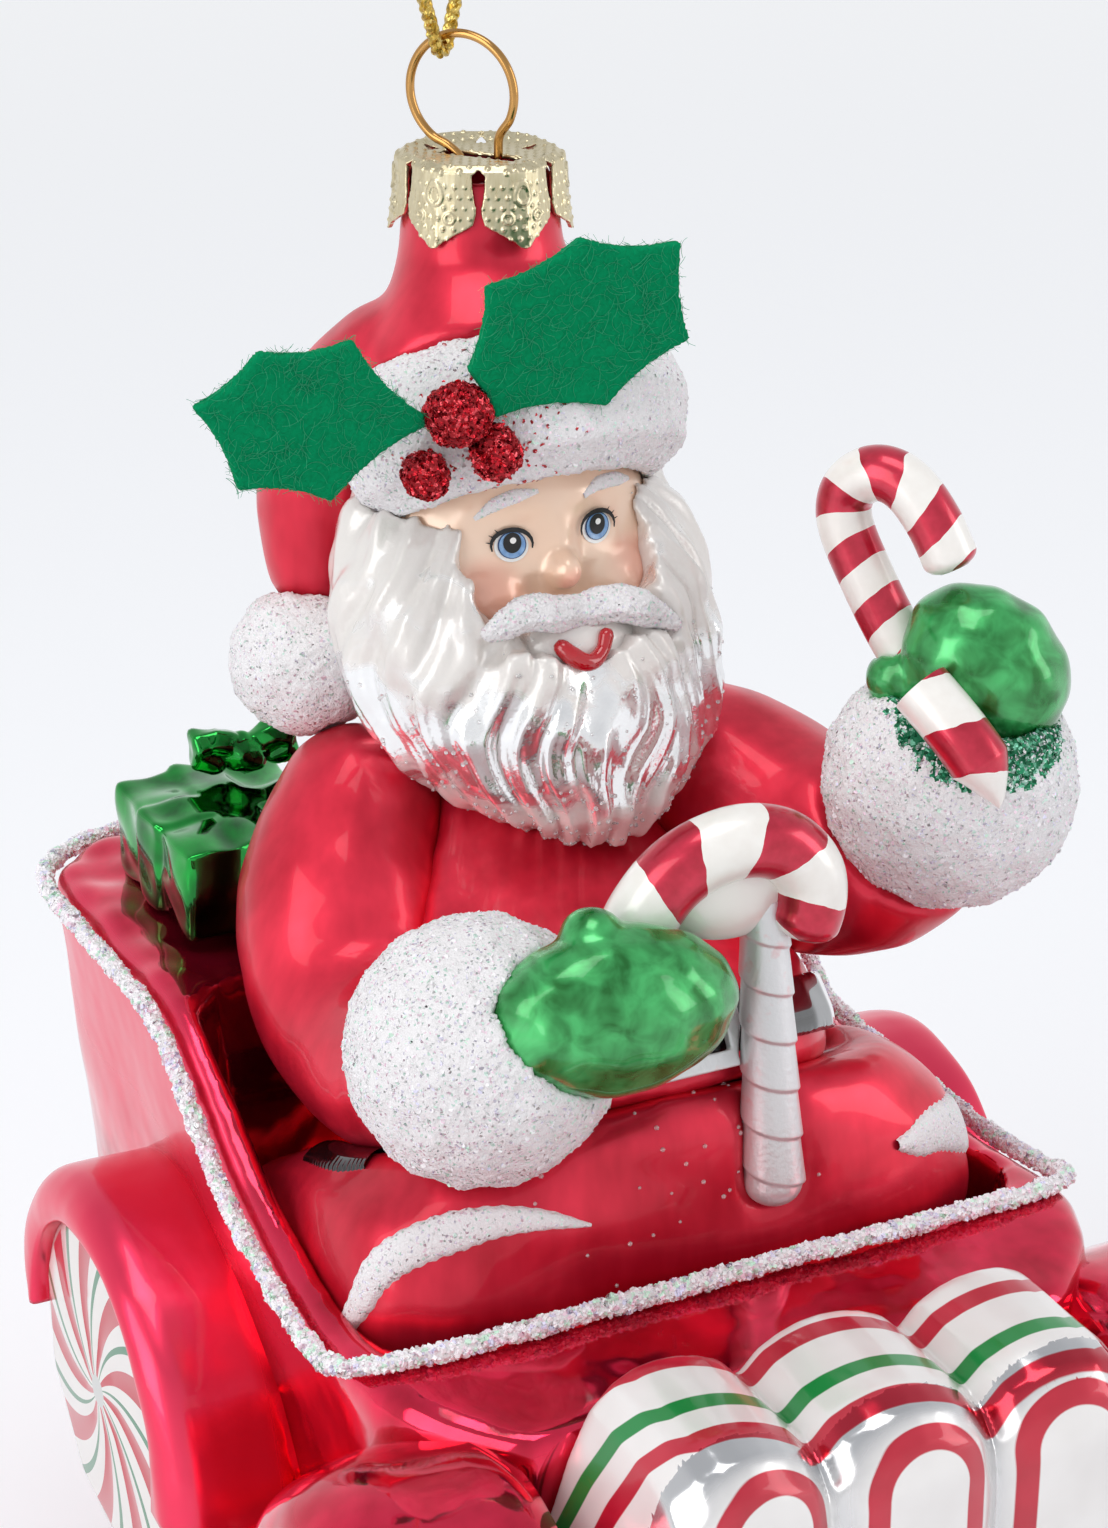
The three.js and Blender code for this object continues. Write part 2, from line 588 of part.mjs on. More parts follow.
// Moustache over the mouth
function moustache(grow = 0) {
  const halves = [-1, 1].map((side) => limb(
    [v3(side * 0.4, -19.8, 85.9), v3(side * 4.4, -20.8, 85.9), v3(side * 8.6, -21, 83.6)],
    [1.8, 2, 1], grow, 8, 5,
  ));
  return join(...halves);
}
addPiece(groups.driver, 'moustache', cut(moustache(), head(gap)), whiteGlitter);
addPiece(groups.driver, 'beard', cut(
  beard(), faceWindow, head(gap), brim(gap), moustache(gap), hatCrown(gap),
), silverPearl);
addPiece(groups.driver, 'pompom', cut(pompom(), beard(gap), hatCrown(gap), rightArm(gap)), whiteGlitter);
addPiece(groups.driver, 'torso', cut(
  torso(), beard(gap), head(gap), rightArm(gap), leftArm(gap), cuff(rightCuff, gap), cuff(leftCuff, gap),
  pompom(gap), shaft(gap), present(gift, gap),
), redSatin);

// Holly: two felt leaves and three berries on the brim
// A leaf is cut from flat felt: spikes at the listed (x, z) points, hollow edges between them
const rightLeafSpikes = [
  [-32.5, 107.6], [-29, 100.4], [-21.2, 98.3], [-12, 103.6], [-19, 111.2], [-26.9, 111.3],
];
const leftLeafSpikes = [
  [-7.6, 103.5], [2.7, 103.1], [10.3, 107.7], [9.4, 116], [0.4, 117.3], [-7.8, 114.4], [-9.5, 107.7],
];
function leaf(spikes, front) {
  const hollow = 0.14;
  const shape = new THREE.Shape();
  shape.moveTo(...spikes[0]);
  spikes.forEach(([x, z], i) => {
    const [nextX, nextZ] = spikes[(i + 1) % spikes.length];
    const inward = [-(nextZ - z) * hollow, (nextX - x) * hollow];
    shape.quadraticCurveTo((x + nextX) / 2 + inward[0], (z + nextZ) / 2 + inward[1], nextX, nextZ);
  });
  const cut = { depth: leafThickness, bevelEnabled: false, curveSegments: 4 };
  const geometry = new THREE.ExtrudeGeometry(shape, cut);
  geometry.applyMatrix4(new THREE.Matrix4().makeBasis(xAxis, zAxis, yAxis.clone().negate()));
  geometry.translate(0, front + leafThickness, 0);
  return solidFrom(geometry);
}
const berries = [[v3(-10.2, -19, 104), 2.7], [v3(-7.2, -19.7, 100.6), 2.2], [v3(-12.8, -18.2, 99), 2]];
const berry = ([centre, radius], grow = 0) =>
  ellipsoid(centre, v3(1, 1, 1).multiplyScalar(radius + grow), 8, 6);
const rightLeaf = leaf(rightLeafSpikes, -19);
const leftLeaf = leaf(leftLeafSpikes, -20);
const allBerries = berries.map((each) => berry(each, gap));
addPiece(groups.holly, 'right_holly_leaf', cut(
  rightLeaf, brim(gap), hatCrown(gap), ...allBerries,
), feltGreen);
addPiece(groups.holly, 'left_holly_leaf', cut(leftLeaf, brim(gap), hatCrown(gap), ...allBerries), feltGreen);
berries.forEach((each, i) => {
  const clear = berries.filter((_, j) => j < i).map((other) => berry(other, gap));
  addPiece(groups.holly, `holly_berry_${i + 1}`, cut(berry(each), brim(gap), ...clear), redGlitter);
});

// Belt and buckle round the belly
function beltSlab(halfWidth) {
  const big = 40;
  return loft([beltRise - halfWidth, beltRise + halfWidth].map((s) =>
    ellipse(alongTorso(s), xAxis, torsoFront, big, big, 24)));
}
addPiece(groups.driver, 'belt', cut(
  torso(gap + beltThickness).intersect(beltSlab(beltWidth / 2)),
  torso(gap), rightArm(gap), leftArm(gap), cuff(rightCuff, gap), shaft(gap),
), blackGloss);

// Skirt of the coat over the knees, down into the cockpit: each ring is given by its front,
// knee, side, back corner and back points, with widths as shares of the cockpit's,
// and is the same on both sides
function skirt(grow = 0) {
  const count = 32;
  const rows = [
    [[-45, 50], [0.641, -40.6, 49.4], [0.788, -24, 43.8], [0.657, -9.5, 34.4], [-5.6, 30]],
    [[-45.8, 44], [0.84, -41.6, 44.6], [0.917, -23.6, 41.6], [0.788, -8, 33], [-5, 29.4]],
    [[-46.2, 37], [0.923, -42.6, 37.4], [0.962, -23.4, 35], [0.821, -7.4, 30], [-4.8, 28.4]],
    [[-45.4, 29], [0.872, -42, 29], [0.923, -23.4, 28], [0.788, -7.6, 26], [-5.2, 25]],
    [[-44.6, 0], [0.814, -41, 0], [0.865, -23.4, 0], [0.737, -8, 0], [-5.6, 0]],
  ];
  const rings = rows.map((row, level) => {
    const last = level === rows.length - 1;
    const [front, knee, side, corner, back] = row;
    const wide = ([share, y, z]) => v3(share * cockpitHalfWidth, y, z);
    const half = [v3(0, ...front), wide(knee), wide(side), wide(corner), v3(0, ...back)];
    const loop = [...half, ...half.slice(1, 4).reverse().map((p) => v3(-p.x, p.y, p.z))];
    const points = new THREE.CatmullRomCurve3(loop, true, 'centripetal').getPoints(count).slice(0, count);
    points.filter((p) => p.x > 0).forEach((p) => { p.x *= leftKneeDraw; });
    points.forEach((p) => {
      if (last) p.z = seatFloor + gap - grow;
      const away = v3(p.x, p.y + 24, 0).normalize();
      p.addScaledVector(away, grow);
      if (!last) p.z += grow * 0.7;
    });
    return points;
  });
  const turn = -Math.PI / 2;
  const waist = Array.from({ length: count }, (_, i) => {
    const angle = turn + (i / count) * Math.PI * 2;
    return alongTorso(-skirtDrop - gap + grow, 2.6 - (21.4 + grow) * Math.sin(angle))
      .addScaledVector(xAxis, (20 + grow) * Math.cos(angle));
  });
  return loft([waist, ...rings]);
}
addPiece(groups.driver, 'coat_skirt', cut(
  skirt().intersect(cockpit(gap)), rightArm(gap), leftArm(gap), cuff(rightCuff, gap), shaft(gap),
  torso(gap + beltThickness + gap).intersect(beltSlab(beltWidth / 2 + gap)),
), redSatin);

// Buckle: a frame on the belt's front
function buckleFrame() {
  const frame = new THREE.Shape();
  const half = { x: 4.6, y: 3.6 };
  frame.moveTo(-half.x, -half.y);
  frame.lineTo(half.x, -half.y);
  frame.lineTo(half.x, half.y);
  frame.lineTo(-half.x, half.y);
  frame.closePath();
  const inner = new THREE.Path();
  inner.moveTo(-half.x + 1.4, -half.y + 1.4);
  inner.lineTo(-half.x + 1.4, half.y - 1.4);
  inner.lineTo(half.x - 1.4, half.y - 1.4);
  inner.lineTo(half.x - 1.4, -half.y + 1.4);
  inner.closePath();
  frame.holes.push(inner);
  const geometry = new THREE.ExtrudeGeometry(frame, { depth: 0.9, bevelEnabled: false });
  geometry.applyMatrix4(new THREE.Matrix4().makeBasis(xAxis, torsoUp, torsoFront));
  const seat = alongTorso(beltRise, 2.4 + 21.8 + gap + beltThickness + gap * 0.8);
  geometry.translate(seat.x - 1.2, seat.y, seat.z);
  return solidFrom(geometry);
}
addPiece(groups.driver, 'belt_buckle', cut(
  buckleFrame(), shaft(gap), skirt(gap), torso(gap + beltThickness + 0.2),
), silverPaint);

// Fur hems on the two knees
const inCockpit = (share, y, z) => v3(share * cockpitHalfWidth, y, z);
const hemPaths = {
  right_coat_hem: [
    inCockpit(-0.949, -38.6, 35.6), inCockpit(-0.91, -40, 40.4), inCockpit(-0.75, -42.4, 43.6),
    inCockpit(-0.526, -44.2, 44), inCockpit(-0.34, -45.2, 43),
  ],
  left_coat_hem: [
    inCockpit(0.59, -43.6, 42.6), inCockpit(0.724, -42.6, 42.6),
    inCockpit(0.859, -40.8, 41.4), inCockpit(0.955, -38.4, 38),
  ],
};
Object.entries(hemPaths).forEach(([name, path]) => {
  const band = limb(path, path.map((_, i) => (i === 0 || i === path.length - 1 ? 1.6 : 2.5)), 0, 8, 9);
  const onKnee = band.intersect(skirt(1.1)).intersect(cockpit(gap));
  addPiece(groups.driver, name, cut(onKnee, skirt(gap)), whiteGlitter);
});

// Car tub: the rim dips from the rear deck to the cowl, which narrows towards the hood
// A rim point is (y, share of the way up from the cowl to the deck)
const rimLine = (points) => new THREE.SplineCurve([
  [cowlFront - 1, -0.019], [-56, 0], [rimFront, 0.057], ...points, [14, 1], [tailStart + tailLength + 1, 1],
].map(([y, share]) => new THREE.Vector2(y, cowlHeight + (deckHeight - cowlHeight) * share))).getPoints(240);
// The left side is cut lower and further back than the right: that is the driver's door,
// and its sill stays clear over the rear wheel
const doorSill = 2 * wheelRadius + 3.2;
const sill = (doorSill - cowlHeight) / (deckHeight - cowlHeight);
const rims = {
  right: rimLine([
    [-42, 0.038], [-34, 0.127], [-26, 0.304], [-20, 0.525], [-15, 0.76], [-10.5, 0.937], [-5, 1], [4, 1],
  ]),
  left: rimLine([
    [-43, 0.025], [-37, sill * 0.43], [-30, sill * 0.85], [-20, sill], [-10, sill], [-4, sill * 0.57],
    [-0.8, 0.127], [1.8, 0.468], [4.6, 0.823], [8.4, 0.987],
  ]),
};
function rimHeight(y, side) {
  const samples = side < 0 ? rims.right : rims.left;
  const after = samples.findIndex((p) => p.x >= y);
  if (after <= 0) return samples[after < 0 ? samples.length - 1 : 0].y;
  const a = samples[after - 1];
  const b = samples[after];
  return a.y + ((b.y - a.y) * (y - a.x)) / (b.x - a.x);
}
// The plan widens from the cowl to the tail: each point is (y, share of that widening)
const cowlPlan = new THREE.SplineCurve([
  [cowlFront, 0], [-57.5, 0.383], [-53.5, 0.723], [rimFront, 0.894], [-40, 0.926], [-20, 0.979],
  [tailStart, 1],
].map(([y, share]) =>
  new THREE.Vector2(y, cowlHalfWidth + (tubHalfWidth - cowlHalfWidth) * share))).getPoints(60);
function tubHalf(y) {
  if (y > tailStart) {
    const reach = Math.min(1, (y - tailStart) / tailLength);
    return tubHalfWidth * (1 - reach ** tailSquareness) ** (1 / tailSquareness);
  }
  const after = cowlPlan.findIndex((p) => p.x >= y);
  if (after <= 0) return cowlPlan[0].y;
  const a = cowlPlan[after - 1];
  const b = cowlPlan[after];
  return a.y + ((b.y - a.y) * (y - a.x)) / (b.x - a.x);
}
// One slice of the tub, square to Y, with a rounded rim and bilge
function tubSlice(y, grow = 0, inset = 0) {
  const floor = tubFloor + inset - grow;
  const half = Math.max(1.2, tubHalf(y) - inset + grow);
  const low = half * tubTaper;
  const round = Math.min(rimRound, half * 0.45);
  const bilge = Math.min(4, half * 0.45);
  const edge = (side) => {
    const top = rimHeight(y, side) - inset + grow;
    const points = [];
    for (let i = 0; i <= 3; i += 1) {
      const a = (i / 3) * (Math.PI / 2);
      points.push([low - bilge + bilge * Math.sin(a), floor + bilge - bilge * Math.cos(a)]);
    }
    for (let i = 0; i <= 3; i += 1) {
      const a = (i / 3) * (Math.PI / 2);
      points.push([half - round + round * Math.cos(a), top - round + round * Math.sin(a)]);
    }
    return points.map(([x, z]) => v3(side * x, y, z));
  };
  return [...edge(1), ...edge(-1).reverse()];
}
function tubBody(grow = 0) {
  const front = cowlFront - grow;
  const stations = [
    front + 0.7, -57.5, -53.5, rimFront, -46, -41, -35, -29, -24, -20, -16, -12, -8.5, -5, -1, 3, 8,
    tailStart, 20.5, 24.4, 27, tailStart + tailLength - 0.35,
  ];
  const rings = [tubSlice(front, grow, 1)];
  stations.forEach((y) => rings.push(tubSlice(y, grow)));
  rings.push(tubSlice(tailStart + tailLength - 0.1 + grow, grow, 1));
  return loft(rings);
}
function cockpit(shrink = 0) {
  const count = 36;
  const level = (z, half, front, lift) => {
    const corner = 6;
    const side = half - shrink;
    const start = front + shrink;
    const back = { left: seatBack.left + lift - shrink, right: seatBack.right + lift - shrink };
    const middle = 2 * (seatBack.middle + lift - shrink) - (back.left + back.right) / 2;
    const shape = new THREE.Shape();
    shape.moveTo(-side + corner, start);
    shape.lineTo(side - corner, start);
    shape.quadraticCurveTo(side, start, side, start + corner);
    shape.lineTo(side, back.left);
    shape.quadraticCurveTo(0, middle, -side, back.right);
    shape.lineTo(-side, start + corner);
    shape.quadraticCurveTo(-side, start, -side + corner, start);
    return shape.getSpacedPoints(count).slice(0, count).map((p) => v3(p.x, p.y, z));
  };
  return loft([
    level(seatFloor + shrink, cockpitHalfWidth - 2, cockpitFront + 0.6, -1.5),
    level(seatFloor + 14, cockpitHalfWidth - 1, cockpitFront + 0.3, -0.6),
    level(deckHeight - 1, cockpitHalfWidth - 0.1, cockpitFront, 0.4),
    level(deckHeight + 8, cockpitHalfWidth + 0.4, cockpitFront, 1),
  ]);
}
addPiece(groups.car, 'car_tub', cut(tubBody(), cockpit()), redMirror);

// Glitter bead round the rim: low on the outside of the sides, on top where it crosses the cowl
function rimBead(grow = 0) {
  const reach = rimRound + gap + rimTrimRadius;
  const beside = (x, y, side, away = xAxis.clone().multiplyScalar(side)) => {
    const rise = THREE.MathUtils.clamp((y + 40) / (rimFront + 40), 0, 1) ** 3;
    const angle = THREE.MathUtils.degToRad(22 + 50 * rise);
    return v3(x, y, rimHeight(y, side) - rimRound + reach * Math.sin(angle))
      .addScaledVector(away, reach * Math.cos(angle) - rimRound);
  };
  const edge = (side) => {
    const half = [];
    const frontRow = 7;
    for (let i = 0; i < frontRow; i += 1) {
      const x = (i / frontRow) * (tubHalf(rimFront) - 1.5);
      half.push(v3(side * x, rimFront, rimHeight(rimFront, side) + gap + rimTrimRadius * 0.8));
    }
    for (let y = rimFront + 1.8; y < tailStart; y += 3.6) half.push(beside(side * tubHalf(y), y, side));
    for (let i = 0; i <= 8; i += 1) {
      const a = (i / 8) * (Math.PI / 2);
      const power = 2 / tailSquareness;
      const x = side * tubHalfWidth * Math.cos(a) ** power;
      const y = tailStart + tailLength * Math.sin(a) ** power;
      half.push(beside(x, y, side, v3(side * Math.cos(a), Math.sin(a), 0)));
    }
    return half;
  };
  const loop = [...edge(1), ...edge(-1).slice(1, -1).reverse()];
  const path = new THREE.CatmullRomCurve3(loop, true, 'centripetal');
  const steps = 76;
  const rings = [];
  for (let i = 0; i < steps; i += 1) {
    const along = path.getTangentAt(i / steps);
    const across = along.clone().cross(zAxis).normalize();
    const radius = rimTrimRadius + grow;
    rings.push(ellipse(path.getPointAt(i / steps), across, across.clone().cross(along), radius, radius, 6));
  }
  return loft(rings, true);
}
addPiece(groups.car, 'rim_trim', cut(rimBead(), tubBody(gap * 0.6)), whiteGlitter);

// Hood of ribbon candy: three lobes that run over the top and down the front, on a lower skirt
function hood() {
  const rear = cowlFront - gap;
  const ring = (x, top, front) => {
    const outline = [];
    const arc = (cy, cz, r, from, to) => {
      for (let k = 0; k <= 3; k += 1) {
        const a = from + ((to - from) * k) / 3;
        outline.push(v3(x, cy + r * Math.cos(a), cz + r * Math.sin(a)));
      }
    };
    arc(front + hoodRound, top - hoodRound, hoodRound, Math.PI, Math.PI / 2);
    arc(rear - 1.2, top - 1.2, 1.2, Math.PI / 2, 0);
    outline.push(v3(x, rear, hoodFloor));
    arc(front + 3, hoodFloor + 3, 3, Math.PI * 1.5, Math.PI);
    return outline;
  };
  const skirtRing = (side) => ring(side * hoodSkirt, hoodTop - 12, hoodFront + 1.4);
  const rings = [skirtRing(-1)];
  const stations = 24;
  for (let i = 0; i <= stations; i += 1) {
    const u = -1 + (2 * i) / stations;
    const wave = Math.abs(Math.cos((u * lobeCount * Math.PI) / 2 + (lobeCount % 2 ? 0 : Math.PI / 2))) ** 0.6;
    const fall = Math.max(0, Math.abs(u) - 0.7) / 0.3;
    const out = lobeHeight * wave - 3.4 * fall ** 3;
    rings.push(ring(u * hoodHalfWidth, hoodTop + out, hoodFront - out * 0.5));
  }
  rings.push(skirtRing(1));
  return loft(rings);
}
addPiece(groups.car, 'candy_hood', hood(), whitePearl);

// Fenders and running boards, the same on both sides
const fenderLow = wheelRadius - 3.4;
// A fender's line arches over its wheel: each point is (y, z) from the axle, in wheel radii
const arch = (axle, points) => new THREE.SplineCurve(
  points.map(([y, z]) => new THREE.Vector2(axle + y * wheelRadius, wheelRadius + z * wheelRadius)),
).getPoints(15);
const frontFenderLine = arch(frontAxle, [
  [1.663, -0.213], [1.538, 0.062], [1.275, 0.5], [0.913, 0.913], [0.525, 1.163],
  [0.062, 1.25], [-0.438, 1.138], [-0.85, 0.812], [-1.088, 0.337], [-1.138, -0.213],
]);
const rearFenderLine = arch(rearAxle, [
  [-1.288, -0.213], [-1.163, 0.15], [-0.85, 0.625], [-0.375, 1], [0.094, 1.163],
  [0.562, 1.1], [0.938, 0.85], [1.2, 0.462], [1.262, 0.038],
]);
function wheelWell(side, axle) {
  const disc = (radius, from, to) => {
    const geometry = new THREE.CylinderGeometry(radius, radius, to - from, 28);
    geometry.rotateZ(Math.PI / 2);
    geometry.translate(side * ((from + to) / 2), axle, wheelRadius);
    return solidFrom(geometry);
  };
  const face = wheelInner + wheelWidth + gap;
  return join(disc(wheelRadius + gap, wheelInner - gap, face), disc(lipOpening, face - 1, fenderOuter + 1));
}
function fender(side, outline, inner, axle, round) {
  const ring = (x, shrink) => outline.map((p) => {
    const away = new THREE.Vector2(p.x - axle, p.y - wheelRadius + 6);
    away.setLength(away.length() - shrink);
    return v3(side * x, axle + away.x, Math.max(fenderLow, wheelRadius - 6 + away.y));
  });
  const rings = [ring(inner, 2.2), ring(inner + 3, 0)];
  for (let i = 0; i <= 3; i += 1) {
    const a = (i / 3) * (Math.PI / 2);
    rings.push(ring(fenderOuter - round * (1 - Math.sin(a)), round * (1 - Math.cos(a))));
  }
  return cut(loft(rings), wheelWell(side, axle), tubBody(gap), rimBead(gap));
}
// Wheel: a domed peppermint disc
function wheel(side, axle) {
  const half = wheelWidth / 2;
  const profile = [
    [0, -half], [wheelRadius - 1.6, -half], [wheelRadius, -half + 1.6],
    [wheelRadius, half - 1.6], [wheelRadius - 0.9, half - 0.5], [wheelRadius - 3.4, half], [0, half],
  ];
  const geometry = new THREE.LatheGeometry(profile.map(([r, z]) => new THREE.Vector2(r, z)), 24);
  geometry.rotateZ(-Math.PI / 2);
  if (side < 0) geometry.rotateY(Math.PI);
  geometry.translate(side * (wheelInner + half), axle, wheelRadius);
  return solidFrom(geometry);
}
function runningBoard(side) {
  const ends = [frontAxle + wheelRadius + gap * 2, rearAxle - wheelRadius - gap * 2];
  const top = fenderLow - gap;
  const outline = [[ends[0], 8], [ends[1], 8], [ends[1] + 0.6, top], [ends[0] - 0.6, top]];
  return cut(
    acrossX(outline, side * (tubHalfWidth - 4), side * (fenderOuter - 1)),
    tubBody(gap), wheelWell(side, frontAxle), wheelWell(side, rearAxle),
  );
}
// The left rear fender is moulded lower than the right one, under the driver's door
const lowered = rearFenderLine.map((p) => {
  const share = (p.y - fenderLow) / (wheelRadius * 2.16 - fenderLow);
  return new THREE.Vector2(p.x, p.y - leftFenderDrop * share);
});
[['right', -1], ['left', 1]].forEach(([hand, side]) => {
  const frontFender = fender(side, frontFenderLine, frontFenderInner, frontAxle, frontFenderRound);
  addPiece(groups.car, `front_${hand}_fender`, frontFender, redMirror);
  const rearLine = side < 0 ? rearFenderLine : lowered;
  const rearFender = fender(side, rearLine, tubHalfWidth * tubTaper - 1, rearAxle, rearFenderRound);
  addPiece(groups.car, `rear_${hand}_fender`, rearFender, redMirror);
  addPiece(groups.car, `${hand}_running_board`, runningBoard(side), redMirror);
  addPiece(groups.car, `front_${hand}_wheel`, wheel(side, frontAxle), whitePearl);
  addPiece(groups.car, `rear_${hand}_wheel`, wheel(side, rearAxle), whitePearl);
});

// The whole is moved so that the origin lies inside the top of the cord's loop
const loopTop = onCord([0, 49 - cordRadius]);
ornament.position.set(-loopTop.x, -loopTop.y, -loopTop.z);
const model = new THREE.Group();
model.add(ornament);
model.updateMatrixWorld(true);

export default model;
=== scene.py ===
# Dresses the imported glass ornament: lacquered mirror glass, paint, glitter, felt, stamped cap and gold cord.
import json
import math
import bmesh
import bpy
import numpy as np
from mathutils import Matrix, Vector
from mathutils.bvhtree import BVHTree

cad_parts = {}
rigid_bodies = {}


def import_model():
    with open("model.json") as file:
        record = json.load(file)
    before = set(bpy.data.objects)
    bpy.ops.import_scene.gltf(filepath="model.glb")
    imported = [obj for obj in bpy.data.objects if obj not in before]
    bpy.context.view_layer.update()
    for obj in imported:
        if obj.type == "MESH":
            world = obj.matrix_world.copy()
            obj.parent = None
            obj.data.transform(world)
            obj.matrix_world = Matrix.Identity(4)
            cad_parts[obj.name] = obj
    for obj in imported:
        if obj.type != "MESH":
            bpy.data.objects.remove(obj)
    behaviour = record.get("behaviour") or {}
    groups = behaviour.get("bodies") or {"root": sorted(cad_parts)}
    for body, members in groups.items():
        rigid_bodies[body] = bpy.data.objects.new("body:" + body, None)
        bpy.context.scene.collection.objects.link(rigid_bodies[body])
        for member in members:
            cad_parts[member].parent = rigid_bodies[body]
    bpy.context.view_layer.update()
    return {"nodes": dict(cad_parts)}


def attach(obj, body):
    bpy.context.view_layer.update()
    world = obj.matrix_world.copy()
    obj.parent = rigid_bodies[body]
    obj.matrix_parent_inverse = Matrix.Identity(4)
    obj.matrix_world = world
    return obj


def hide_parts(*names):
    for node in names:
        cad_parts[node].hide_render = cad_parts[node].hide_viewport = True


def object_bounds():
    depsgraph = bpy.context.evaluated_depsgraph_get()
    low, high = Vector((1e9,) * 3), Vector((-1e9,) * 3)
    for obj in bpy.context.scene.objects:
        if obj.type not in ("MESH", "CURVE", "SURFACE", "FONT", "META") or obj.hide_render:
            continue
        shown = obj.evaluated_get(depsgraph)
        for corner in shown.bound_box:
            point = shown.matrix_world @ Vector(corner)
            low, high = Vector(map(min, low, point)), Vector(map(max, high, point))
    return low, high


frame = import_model()
print("frame loaded")

# Places are written in mm from the ground under the wheels, as in the part's own source
layout = {"shift": (1.424, -2.3186, -177.8336)}


def place(x, y, z):
    dx, dy, dz = layout["shift"]
    return Vector((x + dx, y + dy, z + dz)) / 1000


# The camera comes first, at the photograph's angle
camera = {
    "azimuth": -26.46819,
    "elevation": 23.50473,
    "at": (-122.372, -261.475, 189.742),
    "focal": 3500 / 1528,  # in picture heights
}


def addCamera():
    a, e = math.radians(camera["azimuth"]), math.radians(camera["elevation"])
    back = Vector((math.sin(a) * math.cos(e), -math.cos(a) * math.cos(e), math.sin(e)))
    right = Vector((math.cos(a), math.sin(a), 0))
    up = back.cross(right)
    data = bpy.data.cameras.new("photo_camera")
    data.sensor_fit = "VERTICAL"
    data.sensor_height = 24
    data.lens = 24 * camera["focal"]
    data.clip_start = 0.005
    data.clip_end = 50
    eye = bpy.data.objects.new("photo_camera", data)
    turn = Matrix((right, up, back)).transposed()
    eye.matrix_world = Matrix.Translation(place(*camera["at"])) @ turn.to_4x4()
    bpy.context.collection.objects.link(eye)
    bpy.context.scene.camera = eye


addCamera()


# Meshes
def newPiece(name, mesh, body, material, replaces=()):
    piece = bpy.data.objects.new(name, mesh)
    bpy.context.collection.objects.link(piece)
    mesh.materials.clear()
    for each in material if isinstance(material, (list, tuple)) else [material]:
        mesh.materials.append(each)
    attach(piece, body)
    if replaces:
        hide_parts(*replaces)
    return piece


def meshFrom(name, points, faces, uvs=None, smooth=True):
    mesh = bpy.data.meshes.new(name)
    mesh.from_pydata([tuple(p) for p in points], [], faces)
    if uvs is not None:
        layer = mesh.uv_layers.new(name="UVMap")
        layer.data.foreach_set("uv", np.asarray(uvs, dtype=np.float32).ravel())
    mesh.polygons.foreach_set("use_smooth", [smooth] * len(mesh.polygons))
    mesh.update()
    return mesh


def quads(rows, across, closed=True):
    # The faces of a grid of points given row by row, closed round if the last of a row meets its first
    return [
        (i * across + j, i * across + k, (i + 1) * across + k, (i + 1) * across + j)
        for i in range(rows - 1)
        for j, k in [(j, (j + 1) % across) for j in range(across if closed else across - 1)]
    ]


def smoothLine(points, steps):
    # Catmull-Rom through the points, cut at even lengths
    p = np.array([points[0] + (points[0] - points[1])] + list(points)
                 + [points[-1] + (points[-1] - points[-2])])
    fine = []
    for i in range(1, len(p) - 2):
        for t in np.linspace(0, 1, 24, endpoint=False):
            a, b, c, d = p[i - 1], p[i], p[i + 1], p[i + 2]
            fine.append(0.5 * ((2 * b) + (c - a) * t + (2 * a - 5 * b + 4 * c - d) * t ** 2
                               + (3 * b - a - 3 * c + d) * t ** 3))
    fine = np.array(fine + [p[-2]])
    run = np.concatenate([[0], np.cumsum(np.linalg.norm(np.diff(fine, axis=0), axis=1))])
    at = np.linspace(0, run[-1], steps + 1)
    return np.stack([np.interp(at, run, fine[:, k]) for k in range(3)], axis=1), run[-1]


def sweep(name, line, radius, sides, domed=True):
    # A round skin along a line; radius(share, angles) in metres; UV is (turn, metres along)
    line = np.asarray(line, dtype=float)
    count = len(line)
    way = np.gradient(line, axis=0)
    way /= np.linalg.norm(way, axis=1)[:, None]
    side = np.cross(way[0], [0.3, 0.2, 1.0])
    side /= np.linalg.norm(side)
    angles = np.linspace(0, 2 * np.pi, sides, endpoint=False)
    run = np.concatenate([[0], np.cumsum(np.linalg.norm(np.diff(line, axis=0), axis=1))])
    rings, along = [], []
    for i in range(count):
        side = side - way[i] * np.dot(side, way[i])
        side /= np.linalg.norm(side)
        other = np.cross(way[i], side)
        r = radius(i / (count - 1), angles) * np.ones(sides)
        ring = line[i] + (np.cos(angles) * r)[:, None] * side + (np.sin(angles) * r)[:, None] * other
        if domed and i in (0, count - 1):
            outward = -way[i] if i == 0 else way[i]
            caps = [(0.5, 0.82), (0.85, 0.5)]
            extra = [line[i] + outward * r.mean() * push + (ring - line[i]) * keep for push, keep in caps]
            if i == 0:
                rings += extra[::-1]
                along += [0, 0]
        rings.append(ring)
        along.append(run[i])
        if domed and i == count - 1 and i:
            rings += extra
            along += [run[i], run[i]]
    points = [p for ring in rings for p in ring]
    faces, uvs = quads(len(rings), sides), []
    for i in range(len(rings) - 1):
        for j in range(sides):
            u0, u1 = j / sides, (j + 1) / sides
            uvs += [(u0, along[i]), (u1, along[i]), (u1, along[i + 1]), (u0, along[i + 1])]
    for end, base in ((0, 0), (1, (len(rings) - 1) * sides)):
        ring = list(range(base, base + sides))
        faces.append(tuple(ring[::-1] if end == 0 else ring))
        uvs += [(0.5, along[-1 if end else 0])] * sides
    return meshFrom(name, points, faces, uvs)


def mmPoints(mesh):
    co = np.empty(len(mesh.vertices) * 3)
    mesh.vertices.foreach_get("co", co)
    return co.reshape(-1, 3) * 1000 - np.array(layout["shift"])


